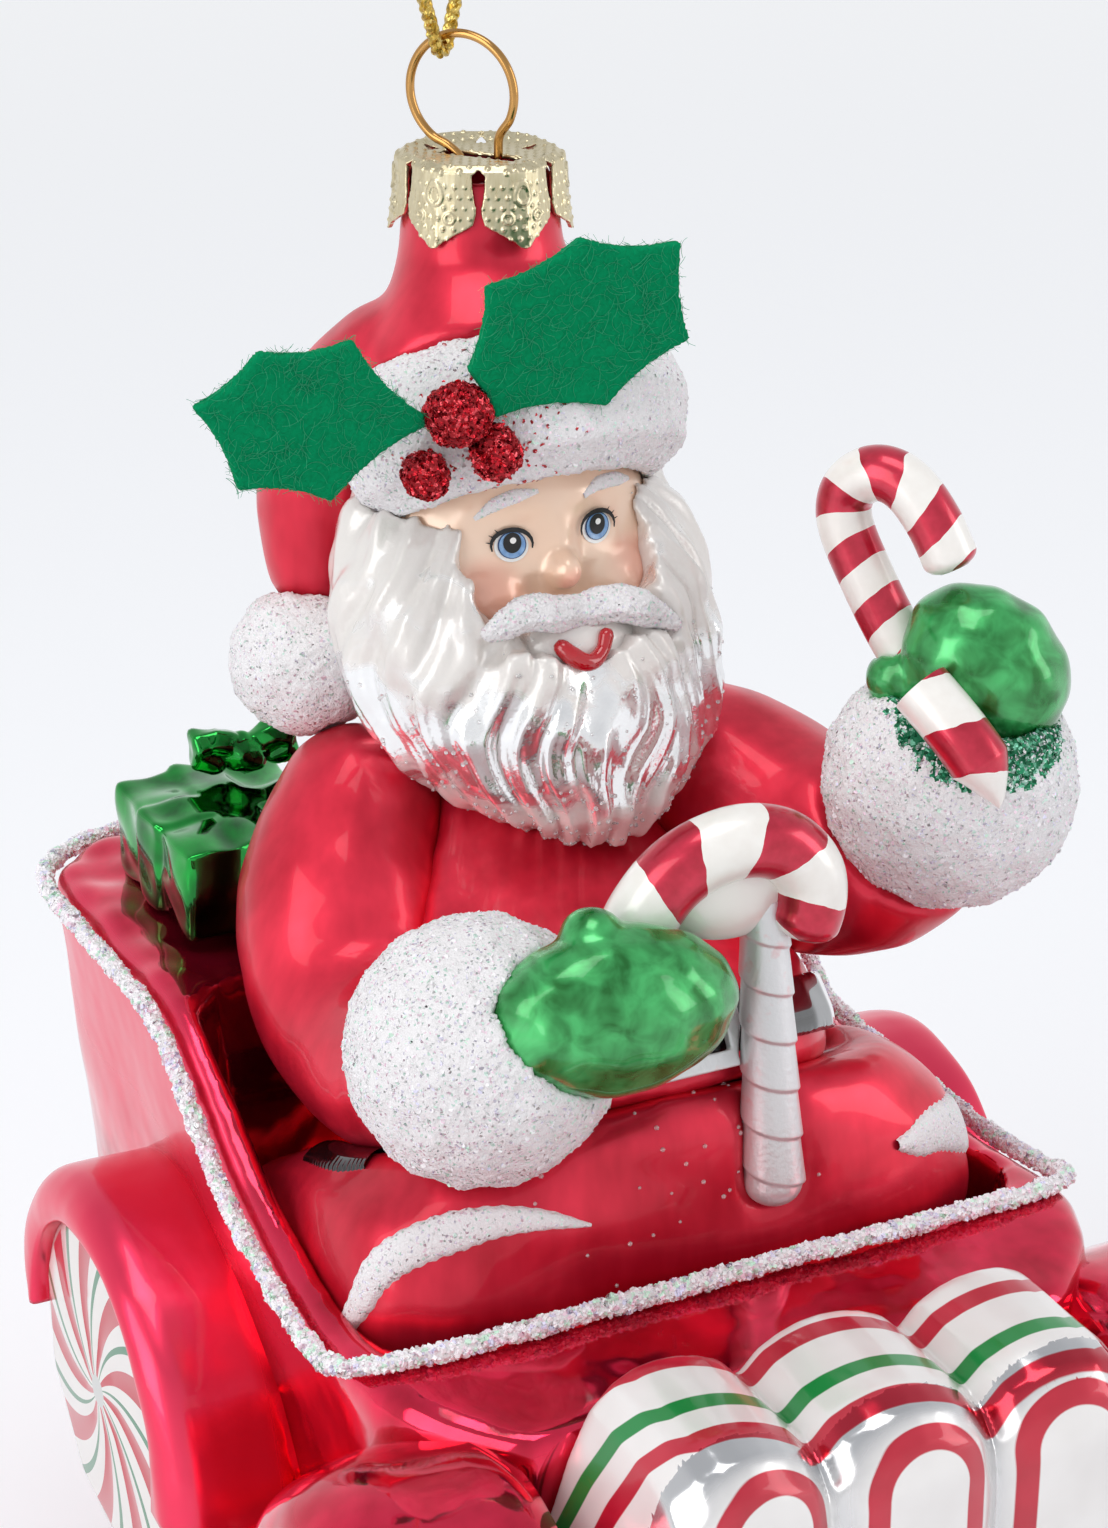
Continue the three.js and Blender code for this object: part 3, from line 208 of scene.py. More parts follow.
def ripple(points, size, seed):
    # A smooth random swell between about -1 and 1, its waves about size mm long
    rng = np.random.default_rng(seed)
    total = np.zeros(len(points))
    for _ in range(7):
        way = rng.normal(size=3)
        way /= np.linalg.norm(way)
        total += np.sin(points @ way * (2 * np.pi / size) * rng.uniform(0.7, 1.4) + rng.uniform(0, 6.3))
    return total / 3


def evenCopy(node, voxel, rounds):
    # The CAD solid as one even skin: merged, remeshed at voxel mm and smoothed
    mesh = frame["nodes"][node].data.copy()
    work = bmesh.new()
    work.from_mesh(mesh)
    bmesh.ops.remove_doubles(work, verts=work.verts, dist=1e-6)
    work.to_mesh(mesh)
    work.free()
    carrier = bpy.data.objects.new("carrier", mesh)
    bpy.context.collection.objects.link(carrier)
    even = carrier.modifiers.new("even", "REMESH")
    even.mode = "VOXEL"
    even.voxel_size = voxel / 1000
    if rounds:
        soft = carrier.modifiers.new("soft", "SMOOTH")
        soft.factor = 0.5
        soft.iterations = rounds
    bpy.context.view_layer.update()
    result = bpy.data.meshes.new_from_object(carrier.evaluated_get(bpy.context.evaluated_depsgraph_get()))
    bpy.data.objects.remove(carrier)
    return result


def push(mesh, amount):
    # Moves each vertex along its normal by amount(points in mm, normals) mm
    normals = np.empty(len(mesh.vertices) * 3)
    mesh.vertices.foreach_get("normal", normals)
    normals = normals.reshape(-1, 3)
    points = mmPoints(mesh)
    points = points + normals * np.asarray(amount(points, normals))[:, None]
    mesh.vertices.foreach_set("co", ((points + np.array(layout["shift"])) / 1000).ravel())
    mesh.polygons.foreach_set("use_smooth", [True] * len(mesh.polygons))
    mesh.update()
    return mesh


def roundBody(name, centre, radii, segments, rings):
    # An ellipsoid, its centre and radii in mm
    mesh = bpy.data.meshes.new(name)
    work = bmesh.new()
    bmesh.ops.create_uvsphere(work, u_segments=segments, v_segments=rings, radius=1)
    for vertex in work.verts:
        vertex.co = place(*(c + r * part for c, r, part in zip(centre, radii, vertex.co)))
    work.to_mesh(mesh)
    work.free()
    mesh.polygons.foreach_set("use_smooth", [True] * len(mesh.polygons))
    return mesh


def numberOn(mesh, name, values):
    layer = mesh.attributes.new(name, "FLOAT", "POINT")
    layer.data.foreach_set("value", np.asarray(values, dtype=np.float32))


def dressed(node, name, material, voxel=0.5, rounds=6, swell=0.12, relief=None):
    mesh = evenCopy(node, voxel, rounds)
    push(mesh, lambda p, n: swell + (relief(p, n) if relief else 0) * np.ones(len(p)))
    return newPiece(name, mesh, "glass", material, [node])


# Shader nodes
def colour(code):
    parts = [int(code[i:i + 2], 16) / 255 for i in (1, 3, 5)]
    return tuple(c / 12.92 if c <= 0.04045 else ((c + 0.055) / 1.055) ** 2.4 for c in parts) + (1.0,)


def feed(node, links):
    # Sets a node's inputs: a socket is linked, a node stands for its first output in use, and a colour is hex
    for key, value in links.items():
        if isinstance(value, bpy.types.Node):
            value = next(output for output in value.outputs if output.enabled)
        if isinstance(value, bpy.types.NodeSocket):
            node.id_data.links.new(value, node.inputs[key])
        else:
            node.inputs[key].default_value = colour(value) if str(value).startswith("#") else value
    return node


def add(tree, kind, links=None, **settings):
    # Kinds are written without ShaderNode in front of them, and a Mix mixes colours
    whole = kind.startswith(("GeometryNode", "FunctionNode", "NodeGroup"))
    node = tree.nodes.new(kind if whole else "ShaderNode" + kind)
    if kind == "Mix":
        node.data_type = "RGBA"
    for key, value in settings.items():
        setattr(node, key, value)
    return feed(node, links or {})


def finish(name, base, roughness, metallic=0.0, coat=0.0, coatRoughness=0.03):
    material = bpy.data.materials.new(name)
    material.use_nodes = True
    tree = material.node_tree
    shader = tree.nodes["Principled BSDF"]
    shader.inputs["Base Color"].default_value = colour(base)
    shader.inputs["Roughness"].default_value = roughness
    shader.inputs["Metallic"].default_value = metallic
    shader.inputs["Coat Weight"].default_value = coat
    shader.inputs["Coat Roughness"].default_value = coatRoughness
    where = add(tree, "TexCoord").outputs["Object"]
    return material, tree, shader, where


def fillRamp(ramp, stops):
    elements = ramp.color_ramp.elements
    for i, (at, code) in enumerate(stops):
        stop = elements[i] if i < 2 else elements.new(at)
        stop.position = at
        stop.color = colour(code)


def perMm(size):
    # A texture scale whose cells are size mm across on Object coordinates in metres
    return 1000 / size


def lacquer(name, deep, light, roughness, metallic, coat, bump, cloud=9.0):
    # Silvered glass under transparent lacquer: colour pools in clouds, and the blown wall is never quite flat
    material, tree, shader, where = finish(name, light, roughness, metallic, coat)
    pool = add(tree, "TexNoise", {"Vector": where, "Scale": perMm(cloud), "Detail": 3.0, "Distortion": 0.6})
    drawn = add(tree, "Mapping", {"Vector": where, "Scale": (1.0, 1.0, 0.25)})
    streak = add(tree, "TexNoise", {"Vector": drawn, "Scale": perMm(1.6), "Detail": 2.0})
    both = add(tree, "Math", {0: streak, 1: 0.3, 2: pool}, operation="MULTIPLY_ADD")
    share = add(tree, "MapRange", {"Value": both, "From Min": 0.45, "From Max": 0.85})
    feed(shader, {"Base Color": add(tree, "Mix", {0: share, 6: deep, 7: light})})
    wave = add(tree, "TexNoise", {"Vector": where, "Scale": perMm(5.0), "Detail": 1.0})
    feed(shader, {"Normal": add(tree, "Bump", {"Height": wave, "Strength": bump, "Distance": 0.0006})})
    return material


def glitter(name, base, flakes, grit, share, roughness=0.85, bump=0.7, shine=0.15, metallic=0.8):
    # Paint with glitter stuck on it: fine grit, and here and there a flat flake tilted its own way
    material, tree, shader, where = finish(name, base, roughness)
    cells = add(tree, "TexVoronoi", {"Vector": where, "Scale": perMm(grit)})
    parts = add(tree, "SeparateColor", {"Color": cells.outputs["Color"]})
    chosen = add(tree, "Math", {0: parts, 1: 1 - share}, operation="GREATER_THAN")
    ramp = add(tree, "ValToRGB", {"Fac": parts.outputs[1]})
    ramp.color_ramp.interpolation = "CONSTANT"
    fillRamp(ramp, [(i / len(flakes), code) for i, code in enumerate(flakes)])
    feed(shader, {"Base Color": add(tree, "Mix", {0: chosen, 6: base, 7: ramp})})
    gloss = add(tree, "MapRange", {"Value": chosen, "To Min": roughness, "To Max": shine})
    feed(shader, {"Roughness": gloss})
    feed(shader, {"Metallic": add(tree, "Math", {0: chosen, 1: metallic}, operation="MULTIPLY")})
    grains = add(tree, "TexNoise", {"Vector": where, "Scale": perMm(grit * 1.3), "Detail": 2.0})
    rough = add(tree, "Bump", {"Height": grains, "Strength": bump, "Distance": 0.0002})
    lean = add(tree, "VectorMath", {0: cells.outputs["Color"], 1: (0.5, 0.5, 0.5)}, operation="SUBTRACT")
    scaled = add(tree, "VectorMath", {0: lean, "Scale": 1.3}, operation="SCALE")
    masked = add(tree, "VectorMath", {0: scaled, "Scale": chosen}, operation="SCALE")
    tilted = add(tree, "VectorMath", {0: rough, 1: masked}, operation="ADD")
    feed(shader, {"Normal": add(tree, "VectorMath", {0: tilted}, operation="NORMALIZE")})
    return material


def lineMask(tree, attribute, softness=0.06):
    # 1 inside a painted line whose signed distance in mm is stored on the mesh
    read = add(tree, "Attribute", attribute_name=attribute)
    return add(tree, "MapRange", {"Value": read.outputs["Fac"], "From Min": -softness, "From Max": softness,
                                  "To Min": 1.0, "To Max": 0.0})


# Finishes
# Deep clear red over a mirror, soft streaks of light in it
redMirror = lacquer("mirror glass in clear red lacquer", "#c00a30", "#f42650", 0.08, 0.88, 0.5, 0.4)
# The satin walls behind the cowl: their bounds, their roughness, and the paler pink tone that is painted sheen
satinSheen = {"outside": 31.8, "behind": -44, "roughness": 0.3, "tone": "#f03459"}  # from x and y in mm


def satinSheenWalls(material):
    # The outer walls behind the cowl get a satin finish and a paler pink colour, which is painted sheen; the
    # rest keeps its mirror
    tree, shader = material.node_tree, material.node_tree.nodes["Principled BSDF"]
    spot = add(tree, "SeparateXYZ", {0: add(tree, "TexCoord").outputs["Object"]}).outputs
    middle, start, edge = place(0, 0, 0)[0], place(0, satinSheen["behind"], 0)[1], satinSheen["outside"] / 1000
    sideways = add(tree, "Math", {0: spot["X"], 1: middle}, operation="SUBTRACT")
    sideways = add(tree, "Math", {0: sideways}, operation="ABSOLUTE")
    outer = add(tree, "MapRange", {"Value": sideways, "From Min": edge, "From Max": edge + 0.0012})
    rear = add(tree, "MapRange", {"Value": spot["Y"], "From Min": start, "From Max": start + 0.012})
    satinSheenShare = add(tree, "Math", {0: outer, 1: rear}, operation="MULTIPLY")
    mirror = shader.inputs["Roughness"].default_value
    gloss = add(tree, "MapRange", {"Value": satinSheenShare, "To Min": mirror, "To Max": satinSheen["roughness"]})
    lacquered = shader.inputs["Base Color"].links[0].from_socket
    # Paler pink on the satin walls: painted sheen
    tone = add(tree, "Mix", {0: satinSheenShare, 6: lacquered, 7: satinSheen["tone"]})
    feed(shader, {"Roughness": gloss, "Base Color": tone})


satinSheenWalls(redMirror)
# The coat: the same red, but brushed so that lamps spread wide on it
redSatin = lacquer("satin red lacquer on silvered glass", "#c10c2c", "#ee2c48", 0.38, 0.6, 0.3, 0.2, cloud=12)
# The present: dark bottle green with hard lights
greenMirror = lacquer("mirror glass in clear green lacquer", "#00621f", "#0cab3c", 0.08, 1.0, 0.6, 0.3,
                      cloud=5)
# The mittens: green with pale streaks, which are partly brush marks and partly painted highlights
greenBrushAndSheen = lacquer("brushed green lacquer with painted sheen", "#046a20", "#48bd69", 0.26, 0.5, 0.6, 0.4, cloud=2.6)
# Fur: chalk white with fine pink and green sparks
whiteGlitter = glitter("white paint with iridescent glitter", "#ece9ea",
                       ["#fbe2ee", "#dcf6ea", "#f6f0ff", "#ffffff"], 0.2, 0.16, metallic=0.1, shine=0.3)
# Berries: dark red with single bright flakes
redFlakes = glitter("coarse red glitter", "#9c0f1c", ["#c8202e", "#e8565e", "#8a0c18", "#d9303e"], 0.3, 0.75,
                    shine=0.2)
# Belt: black with one clean highlight
blackGloss = finish("black enamel on glass", "#0b0b0d", 0.08, 0.0, 1.0)[0]


def pearlSkin():
    # Pearly paint over silver: warm, with the cheeks and nose airbrushed pink
    material, tree, shader, where = finish(
        "pearly flesh paint on silvered glass", "#f6ddcb", 0.3, 0.2, 0.5, 0.1)
    cloud = add(tree, "TexNoise", {"Vector": where, "Scale": perMm(6), "Detail": 2.0})
    tone = add(tree, "Mix", {0: cloud, 6: "#fde6d3", 7: "#f5c7a4"})
    for spot, reach in (((-6.2, -15.5, 86.6), 4.2), ((7.0, -15.0, 87.0), 4.0), ((0.2, -19.4, 87.6), 2.2)):
        away = add(tree, "VectorMath", {0: where, 1: place(*spot)}, operation="DISTANCE")
        blush = add(tree, "MapRange", {"Value": away, "From Min": reach / 2500, "From Max": reach / 1000,
                                       "To Min": 0.55, "To Max": 0.0}, interpolation_type="SMOOTHSTEP")
        tone = add(tree, "Mix", {0: blush, 6: tone, 7: "#f29a86"})
    feed(shader, {"Base Color": tone})
    wave = add(tree, "TexNoise", {"Vector": where, "Scale": perMm(3.2), "Detail": 1.0})
    feed(shader, {"Normal": add(tree, "Bump", {"Height": wave, "Strength": 0.3, "Distance": 0.0004})})
    return material


def silverBeard():
    # Bare silvered glass where the white paint is thin, pearl paint and fine glitter elsewhere
    material, tree, shader, where = finish(
        "silvered glass under thin white paint", "#e8e6e4", 0.12, 1.0, 0.6, 0.05)
    cloud = add(tree, "TexNoise", {"Vector": where, "Scale": perMm(4.5), "Detail": 3.0, "Distortion": 0.8})
    height = add(tree, "SeparateXYZ", {0: where}).outputs["Z"]
    middle = place(0, 0, 75.5)[2]
    away = add(tree, "Math", {0: height, 1: middle}, operation="SUBTRACT")
    away = add(tree, "Math", {0: away}, operation="ABSOLUTE")
    near = add(tree, "MapRange", {"Value": away, "From Min": 0.002, "From Max": 0.0075, "To Min": -0.22,
                                  "To Max": 0.16})
    total = add(tree, "Math", {0: cloud, 1: near}, operation="ADD")
    painted = add(tree, "MapRange", {"Value": total, "From Min": 0.38, "From Max": 0.6},
                  interpolation_type="SMOOTHSTEP")
    feed(shader, {"Base Color": add(tree, "Mix", {0: painted, 6: "#f0f0f0", 7: "#e7e2dd"})})
    feed(shader, {"Metallic": add(tree, "MapRange", {"Value": painted, "To Min": 0.88, "To Max": 0.15})})
    feed(shader, {"Roughness": add(tree, "MapRange", {"Value": painted, "To Min": 0.16, "To Max": 0.32})})
    grit = add(tree, "TexNoise", {"Vector": where, "Scale": perMm(0.35), "Detail": 1.0})
    feed(shader, {"Normal": add(tree, "Bump", {"Height": grit, "Strength": 0.12, "Distance": 0.0002})})
    return material


def candyStripes(name, share, white="#efe9e2"):
    # Red bands round a sugar stick, painted by hand on pearl; the number on the mesh counts bands
    material, tree, shader, where = finish(name, white, 0.3, 0.1, 0.6, 0.08)
    read = add(tree, "Attribute", attribute_name="stripe")
    wobble = add(tree, "TexNoise", {"Vector": where, "Scale": perMm(1.8), "Detail": 1.0})
    shifted = add(tree, "Math", {0: wobble, 1: 0.07, 2: read.outputs["Fac"]}, operation="MULTIPLY_ADD")
    part = add(tree, "Math", {0: shifted}, operation="FRACT")
    red = add(tree, "Math", {0: part, 1: share}, operation="LESS_THAN")
    cloud = add(tree, "TexNoise", {"Vector": where, "Scale": perMm(1.2), "Detail": 2.0})
    paint = add(tree, "Mix", {0: cloud, 6: "#a50f28", 7: "#dc2f4c"})
    pearl = add(tree, "Mix", {0: cloud, 6: white, 7: "#faf7f2"})
    feed(shader, {"Base Color": add(tree, "Mix", {0: red, 6: pearl, 7: paint})})
    feed(shader, {"Metallic": add(tree, "Math", {0: red, 1: 0.55, 2: 0.1}, operation="MULTIPLY_ADD")})
    edge = add(tree, "Math", {0: part, 1: share, 2: 0.05}, operation="COMPARE")
    dent = add(tree, "Bump", {"Height": edge, "Strength": 0.5, "Distance": 0.0002}, invert=True)
    feed(shader, {"Normal": dent})
    return material


def brushedSilver():
    # Silver paint brushed over the blown cane, with pale pink patches in places
    material, tree, shader, where = finish("silver paint brushed on glass", "#dcdcdd", 0.4, 0.55, 0.3, 0.1)
    cloud = add(tree, "TexNoise", {"Vector": where, "Scale": perMm(2.4), "Detail": 4.0})
    pinkPatches = add(tree, "MapRange", {"Value": cloud, "From Min": 0.6, "From Max": 0.75})
    feed(shader, {"Base Color": add(tree, "Mix", {0: pinkPatches, 6: "#dededf", 7: "#e3b1b2"})})
    fine = add(tree, "TexNoise", {"Vector": where, "Scale": perMm(0.5), "Detail": 2.0})
    feed(shader, {"Normal": add(tree, "Bump", {"Height": fine, "Strength": 0.25, "Distance": 0.0002})})
    return material


def ribbonCandy():
    # White pearl lobes with red and green lines, silver where the lobes meet at the front
    material, tree, shader, where = finish(
        "ribbon candy paint on silvered glass", "#efebe8", 0.28, 0.2, 0.7, 0.06)
    cloud = add(tree, "TexNoise", {"Vector": where, "Scale": perMm(5), "Detail": 2.0})
    white = add(tree, "Mix", {0: cloud, 6: "#e6e1de", 7: "#f7f4f2"})
    red = add(tree, "Mix", {0: cloud, 6: "#a80d24", 7: "#d62440"})
    bare = lineMask(tree, "bareGlass", 1.2)
    tone = add(tree, "Mix", {0: bare, 6: white, 7: "#cfcfd0"})
    tone = add(tree, "Mix", {0: lineMask(tree, "redLine"), 6: tone, 7: red})
    tone = add(tree, "Mix", {0: lineMask(tree, "greenLine"), 6: tone, 7: "#158a40"})
    feed(shader, {"Base Color": tone})
    feed(shader, {"Metallic": add(tree, "MapRange", {"Value": bare, "To Min": 0.25, "To Max": 0.95})})
    feed(shader, {"Roughness": add(tree, "MapRange", {"Value": bare, "To Min": 0.3, "To Max": 0.16})})
    return material


def peppermint():
    # Swirled mint: red wedges and thin green rays on white, read off the wheel's own map
    material, tree, shader, where = finish("painted peppermint glass", "#f1eeea", 0.3, 0.1, 0.6, 0.08)
    read = add(tree, "Attribute", attribute_name="swirl")
    part = add(tree, "Math", {0: read.outputs["Fac"]}, operation="FRACT")
    ramp = add(tree, "ValToRGB", {"Fac": part})
    ramp.color_ramp.interpolation = "CONSTANT"
    fillRamp(ramp, ((0.0, "#c41e34"), (0.36, "#e9e5e1"), (0.62, "#2c7d57"), (0.72, "#e9e5e1")))
    hub = lineMask(tree, "hub")
    rim = lineMask(tree, "rim")
    tone = add(tree, "Mix", {0: rim, 6: ramp, 7: "#e9e5e1"})
    feed(shader, {"Base Color": add(tree, "Mix", {0: hub, 6: tone, 7: "#c9cbc8"})})
    return material


def greenFelt():
    # Needled wool felt: matted fibres, painted slightly paler where they stand up and darker between them,
    # which is painted light and shade
    material, tree, shader, where = finish("pressed green felt", "#057a4c", 0.95)
    fibres = add(tree, "TexNoise", {"Vector": where, "Scale": perMm(0.5), "Detail": 5.0, "Distortion": 1.5})
    patches = add(tree, "TexNoise", {"Vector": where, "Scale": perMm(3), "Detail": 2.0})
    # Colour follows the fibre height: painted highlight on raised fibres, painted shade between them
    tone = add(tree, "Mix", {0: fibres, 6: "#006c42", 7: "#009c64"})
    mild = add(tree, "Math", {0: patches, 1: 0.5}, operation="MULTIPLY")
    feed(shader, {"Base Color": add(tree, "Mix", {0: mild, 6: tone, 7: "#008c59"})})
    shader.inputs["Specular IOR Level"].default_value = 0.1
    feed(shader, {"Normal": add(tree, "Bump", {"Height": fibres, "Strength": 0.7, "Distance": 0.0003})})
    return material


def stampedSheet():
    # Thin anodised sheet the colour of champagne, satin from the rolls and brighter on the stamped dots
    material, tree, shader, where = finish("stamped champagne sheet", "#e0cd9c", 0.26, 1.0)
    rolled = add(tree, "Mapping", {"Vector": where, "Scale": (1.0, 1.0, 0.15)})
    fine = add(tree, "TexNoise", {"Vector": rolled, "Scale": perMm(0.25), "Detail": 2.0})
    feed(shader, {"Base Color": add(tree, "Mix", {0: fine, 6: "#c6b58a", 7: "#e8dfc2"})})
    feed(shader, {"Roughness": add(tree, "MapRange", {"Value": fine, "To Min": 0.2, "To Max": 0.42})})
    return material


def foilThread():
    # Thread wound with narrow gold foil: each turn of foil glints at its own angle
    material, tree, shader, where = finish("gold foil thread", "#c79a32", 0.28, 1.0)
    cells = add(tree, "TexVoronoi", {"Vector": where, "Scale": perMm(0.35)})
    parts = add(tree, "SeparateColor", {"Color": cells.outputs["Color"]})
    feed(shader, {"Base Color": add(tree, "Mix", {0: parts, 6: "#a97f22", 7: "#ecd27a"})})
    lean = add(tree, "VectorMath", {0: cells.outputs["Color"], 1: (0.5, 0.5, 0.5)}, operation="SUBTRACT")
    scaled = add(tree, "VectorMath", {0: lean, "Scale": 0.9}, operation="SCALE")
    face = add(tree, "NewGeometry")
    tilted = add(tree, "VectorMath", {0: face.outputs["Normal"], 1: scaled}, operation="ADD")
    feed(shader, {"Normal": add(tree, "VectorMath", {0: tilted}, operation="NORMALIZE")})
    return material


skin, beardSilver, felt, sheet, foil = pearlSkin(), silverBeard(), greenFelt(), stampedSheet(), foilThread()
caneStripes = candyStripes("red and white cane paint", 0.48)
silverShaft, hoodPaint, mint = brushedSilver(), ribbonCandy(), peppermint()
# Warm bright wire, thin enough to show as a line of light and a line of dark
springWire = finish("copper-gold spring wire", "#bd8f55", 0.18, 1.0)[0]
# Tiny clear beads that show as points of light
beadGlass = finish("clear glass micro beads", "#ffffff", 0.05)[0]
beadGlass.node_tree.nodes["Principled BSDF"].inputs["Transmission Weight"].default_value = 0.7
print("finishes made")

# Cord, knot and wire
hanger = {
    "axis": (0.7, -0.4),
    "slotTurn": -52,
    "slotHeight": 119.8,
    "ringRadius": 4.85,
    "ringLift": 5.13,
    "ringLean": -1.65,
    "cordSlide": -1.8,
    "wireRadius": 0.38,
    "legLength": 16,
    "legSpread": 2.3,
}
slotTurn = math.radians(hanger["slotTurn"])
slotWay = np.array([math.cos(slotTurn), math.sin(slotTurn), 0])
slotSide = np.array([-slotWay[1], slotWay[0], 0])
slotPoint = np.array([*hanger["axis"], hanger["slotHeight"]])


def inWire(s, h):
    return np.array(place(*(slotPoint + slotWay * s + np.array([0, 0, h]))))


def addWire():
    r, lift, lean = hanger["ringRadius"], hanger["ringLift"], hanger["ringLean"]
    foot, spread = -hanger["legLength"], hanger["legSpread"]
    points = [inWire(-spread, foot), inWire(-spread * 0.72, foot * 0.55)]
    points += [inWire(-1.3, -3.2), inWire(-1.7, -0.7)]
    for i in range(15):
        angle = math.radians(255 + (-44 - 255) * i / 14)
        points.append(inWire(lean + r * math.cos(angle), lift + r * math.sin(angle)))
    points += [inWire(1.7, 0), inWire(1.4, -3.2), inWire(spread * 0.72, foot * 0.55), inWire(spread, foot)]
    line, _ = smoothLine(points, 220)
    mesh = sweep("ring_wire", line, lambda t, a: hanger["wireRadius"] / 1000, 16)
    newPiece("ring_wire", mesh, "hanger", springWire, ["wire_hanger"])


cord = {
    "radius": 0.6,
    "strands": 3,
    "lay": 2.6,  # mm for one turn of the twist
    "route": [
        (-4.3, 18.2), (-4.6, 14.5), (-4.5, 10.5), (-4.1, 6.6), (-3.1, 3.6), (-2.0, 1.4), (-1.3, -0.1),
        (-0.75, -1.05), (0, -1.3), (0.75, -1.05), (1.3, -0.1), (2.0, 1.4), (3.1, 3.6), (4.1, 6.6),
        (4.5, 10.5), (4.6, 15), (4.6, 20), (4.5, 26), (4.5, 32), (4.3, 38), (3.9, 42.5), (3.0, 46.2),
        (1.5, 48.4), (0, 49), (-1.5, 48.4), (-3.0, 46.2), (-3.9, 42.5), (-4.3, 38), (-4.5, 32), (-4.4, 26),
        (-4.25, 21.9),
    ],
}


def addCord():
    seat = slotPoint + slotWay * (hanger["ringLean"] + hanger["cordSlide"])
    seat[2] += hanger["ringLift"] + math.sqrt(hanger["ringRadius"] ** 2 - hanger["cordSlide"] ** 2)
    points = [np.array(place(*(seat + slotSide * n + np.array([0, 0, h])))) for n, h in cord["route"]]
    line, length = smoothLine(points, 520)
    turns = length * 1000 / cord["lay"]

    def twisted(t, angles):
        lobe = np.abs(np.cos((angles - 2 * np.pi * turns * t) * cord["strands"] / 2))
        return cord["radius"] / 1000 * (0.74 + 0.3 * lobe)

    mesh = sweep("gold_cord", line, twisted, 18)
    piece = newPiece("gold_cord", mesh, "cord", foil, ["hanging_cord"])
    knotMesh = evenCopy("cord_knot", 0.12, 3)
    push(knotMesh, lambda p, n: 0.1 * np.sin(p[:, 2] * 5 + p[:, 0] * 4) + 0.04)
    knot = newPiece("gold_knot", knotMesh, "cord", foil, ["cord_knot"])


addCord()
addWire()
print("cord and wire made")

# Stamped cap
cap = {
    "top": 120.4,
    "turn": -146.5,
    "wall": 6.78,
    "arc": 7.2,  # the radius on which mm round the skirt are counted
    "dot": 0.23,
    "pitch": 0.86,
    "height": 0.13,
    "drop": (0.62, 2.6),  # half width and height on the skirt of the stamped drop in each petal
    "rings": (1.35, 4.3, 0.38),  # beside the drop, down the skirt, and radius of its two small rings
}


def stamped(p, n):
    x, y = p[:, 0] - hanger["axis"][0], p[:, 1] - hanger["axis"][1]
    r, fall = np.hypot(x, y), cap["top"] - p[:, 2]
    turn = np.degrees(np.arctan2(y, x)) - cap["turn"]
    s = np.radians((turn + 30) % 60 - 30) * cap["arc"]
    wide, dropAt = cap["drop"]
    ringSide, ringAt, ringRadius = cap["rings"]
    outside = np.where(fall > 0.9, r > cap["wall"] + 0.1 * fall, n[:, 2] > 0)
    side = np.where(n[:, 0] * x + n[:, 1] * y + n[:, 2] * 3 > 0, 1, -1)
    drop = np.abs(np.hypot(s / wide, (fall - dropAt) / (0.85 + 0.25 * np.sign(dropAt - fall))) - 1)
    small = np.minimum(np.hypot(s - ringSide, fall - ringAt), np.hypot(s + ringSide, fall - ringAt))
    ring = np.where(drop < 0.28, 1, 0) + np.where(np.abs(small - ringRadius) < 0.13, 1, 0)
    row = np.round(fall / cap["pitch"])
    col = np.round(s / cap["pitch"] - 0.5 * (row % 2)) + 0.5 * (row % 2)
    away = np.hypot(s - col * cap["pitch"], fall - row * cap["pitch"])
    clear = (drop > 0.6) & (small > 0.75) & (np.hypot(s / wide, (fall - dropAt) / 0.9) > 1)
    dots = np.clip(1 - (away / cap["dot"]) ** 2, 0, 1) * clear
    flatRow = np.round(y / cap["pitch"])
    flatCol = np.round(x / cap["pitch"] - 0.5 * (flatRow % 2)) + 0.5 * (flatRow % 2)
    flat = np.hypot(x - flatCol * cap["pitch"], y - flatRow * cap["pitch"])
    topDots = np.clip(1 - (flat / cap["dot"]) ** 2, 0, 1)
    height = np.where(fall > 1.1, np.maximum(dots, ring), np.where(fall < 0.75, topDots, 0))
    return height * cap["height"] * side * (outside * 0.4 + 0.6)


capMesh = evenCopy("cap", 0.1, 3)
push(capMesh, stamped)
newPiece("stamped_cap", capMesh, "cap", sheet, ["cap"])
print("cap made")

# The figure: hat, head, beard and coat
grit = np.random.default_rng(7)


def surfaceOf(mesh):
    return BVHTree.FromPolygons([v.co for v in mesh.vertices], [tuple(f.vertices) for f in mesh.polygons])


def furStrip(name, surface, line, widths, height, material=None, replaces=()):
    # A low cushion of fur laid along a surface: line in mm from the ground, widths and height in mm
    centres, _ = smoothLine([np.array(place(*p)) for p in line], 70)
    way = np.gradient(centres, axis=0)
    ends = np.linspace(0, 1, len(centres))
    widths = np.interp(ends, np.linspace(0, 1, len(widths)), widths) / 1000
    across, points = 13, []
    for i, centre in enumerate(centres):
        spot, normal, _, _ = surface.find_nearest(Vector(centre))
        side = Vector(way[i]).cross(normal).normalized()
        thick = height / 1000 * min(1, widths[i] / 0.0012)
        for k in range(across):
            u = 2 * k / (across - 1) - 1
            ragged = 1 + 0.05 * math.sin(i * 1.7 + 2.1 * np.sign(u))
            foot, up, _, _ = surface.find_nearest(spot + side * (u * widths[i] / 2 * ragged))
            points.append(foot + up * (thick * math.sqrt(max(0, 1 - u * u)) - 0.00008 + abs(u) * 0.00004))
    mesh = meshFrom(name, points, quads(len(centres), across, closed=False))
    return newPiece(name, mesh, "glass", material or whiteGlitter, list(replaces))


def sugared(amount):
    return lambda p, n: grit.normal(size=len(p)) * amount + 0.12 * ripple(p, 4, 5)


def blown(amount, size=14, seed=3):
    return lambda p, n: amount * ripple(p, size, seed)


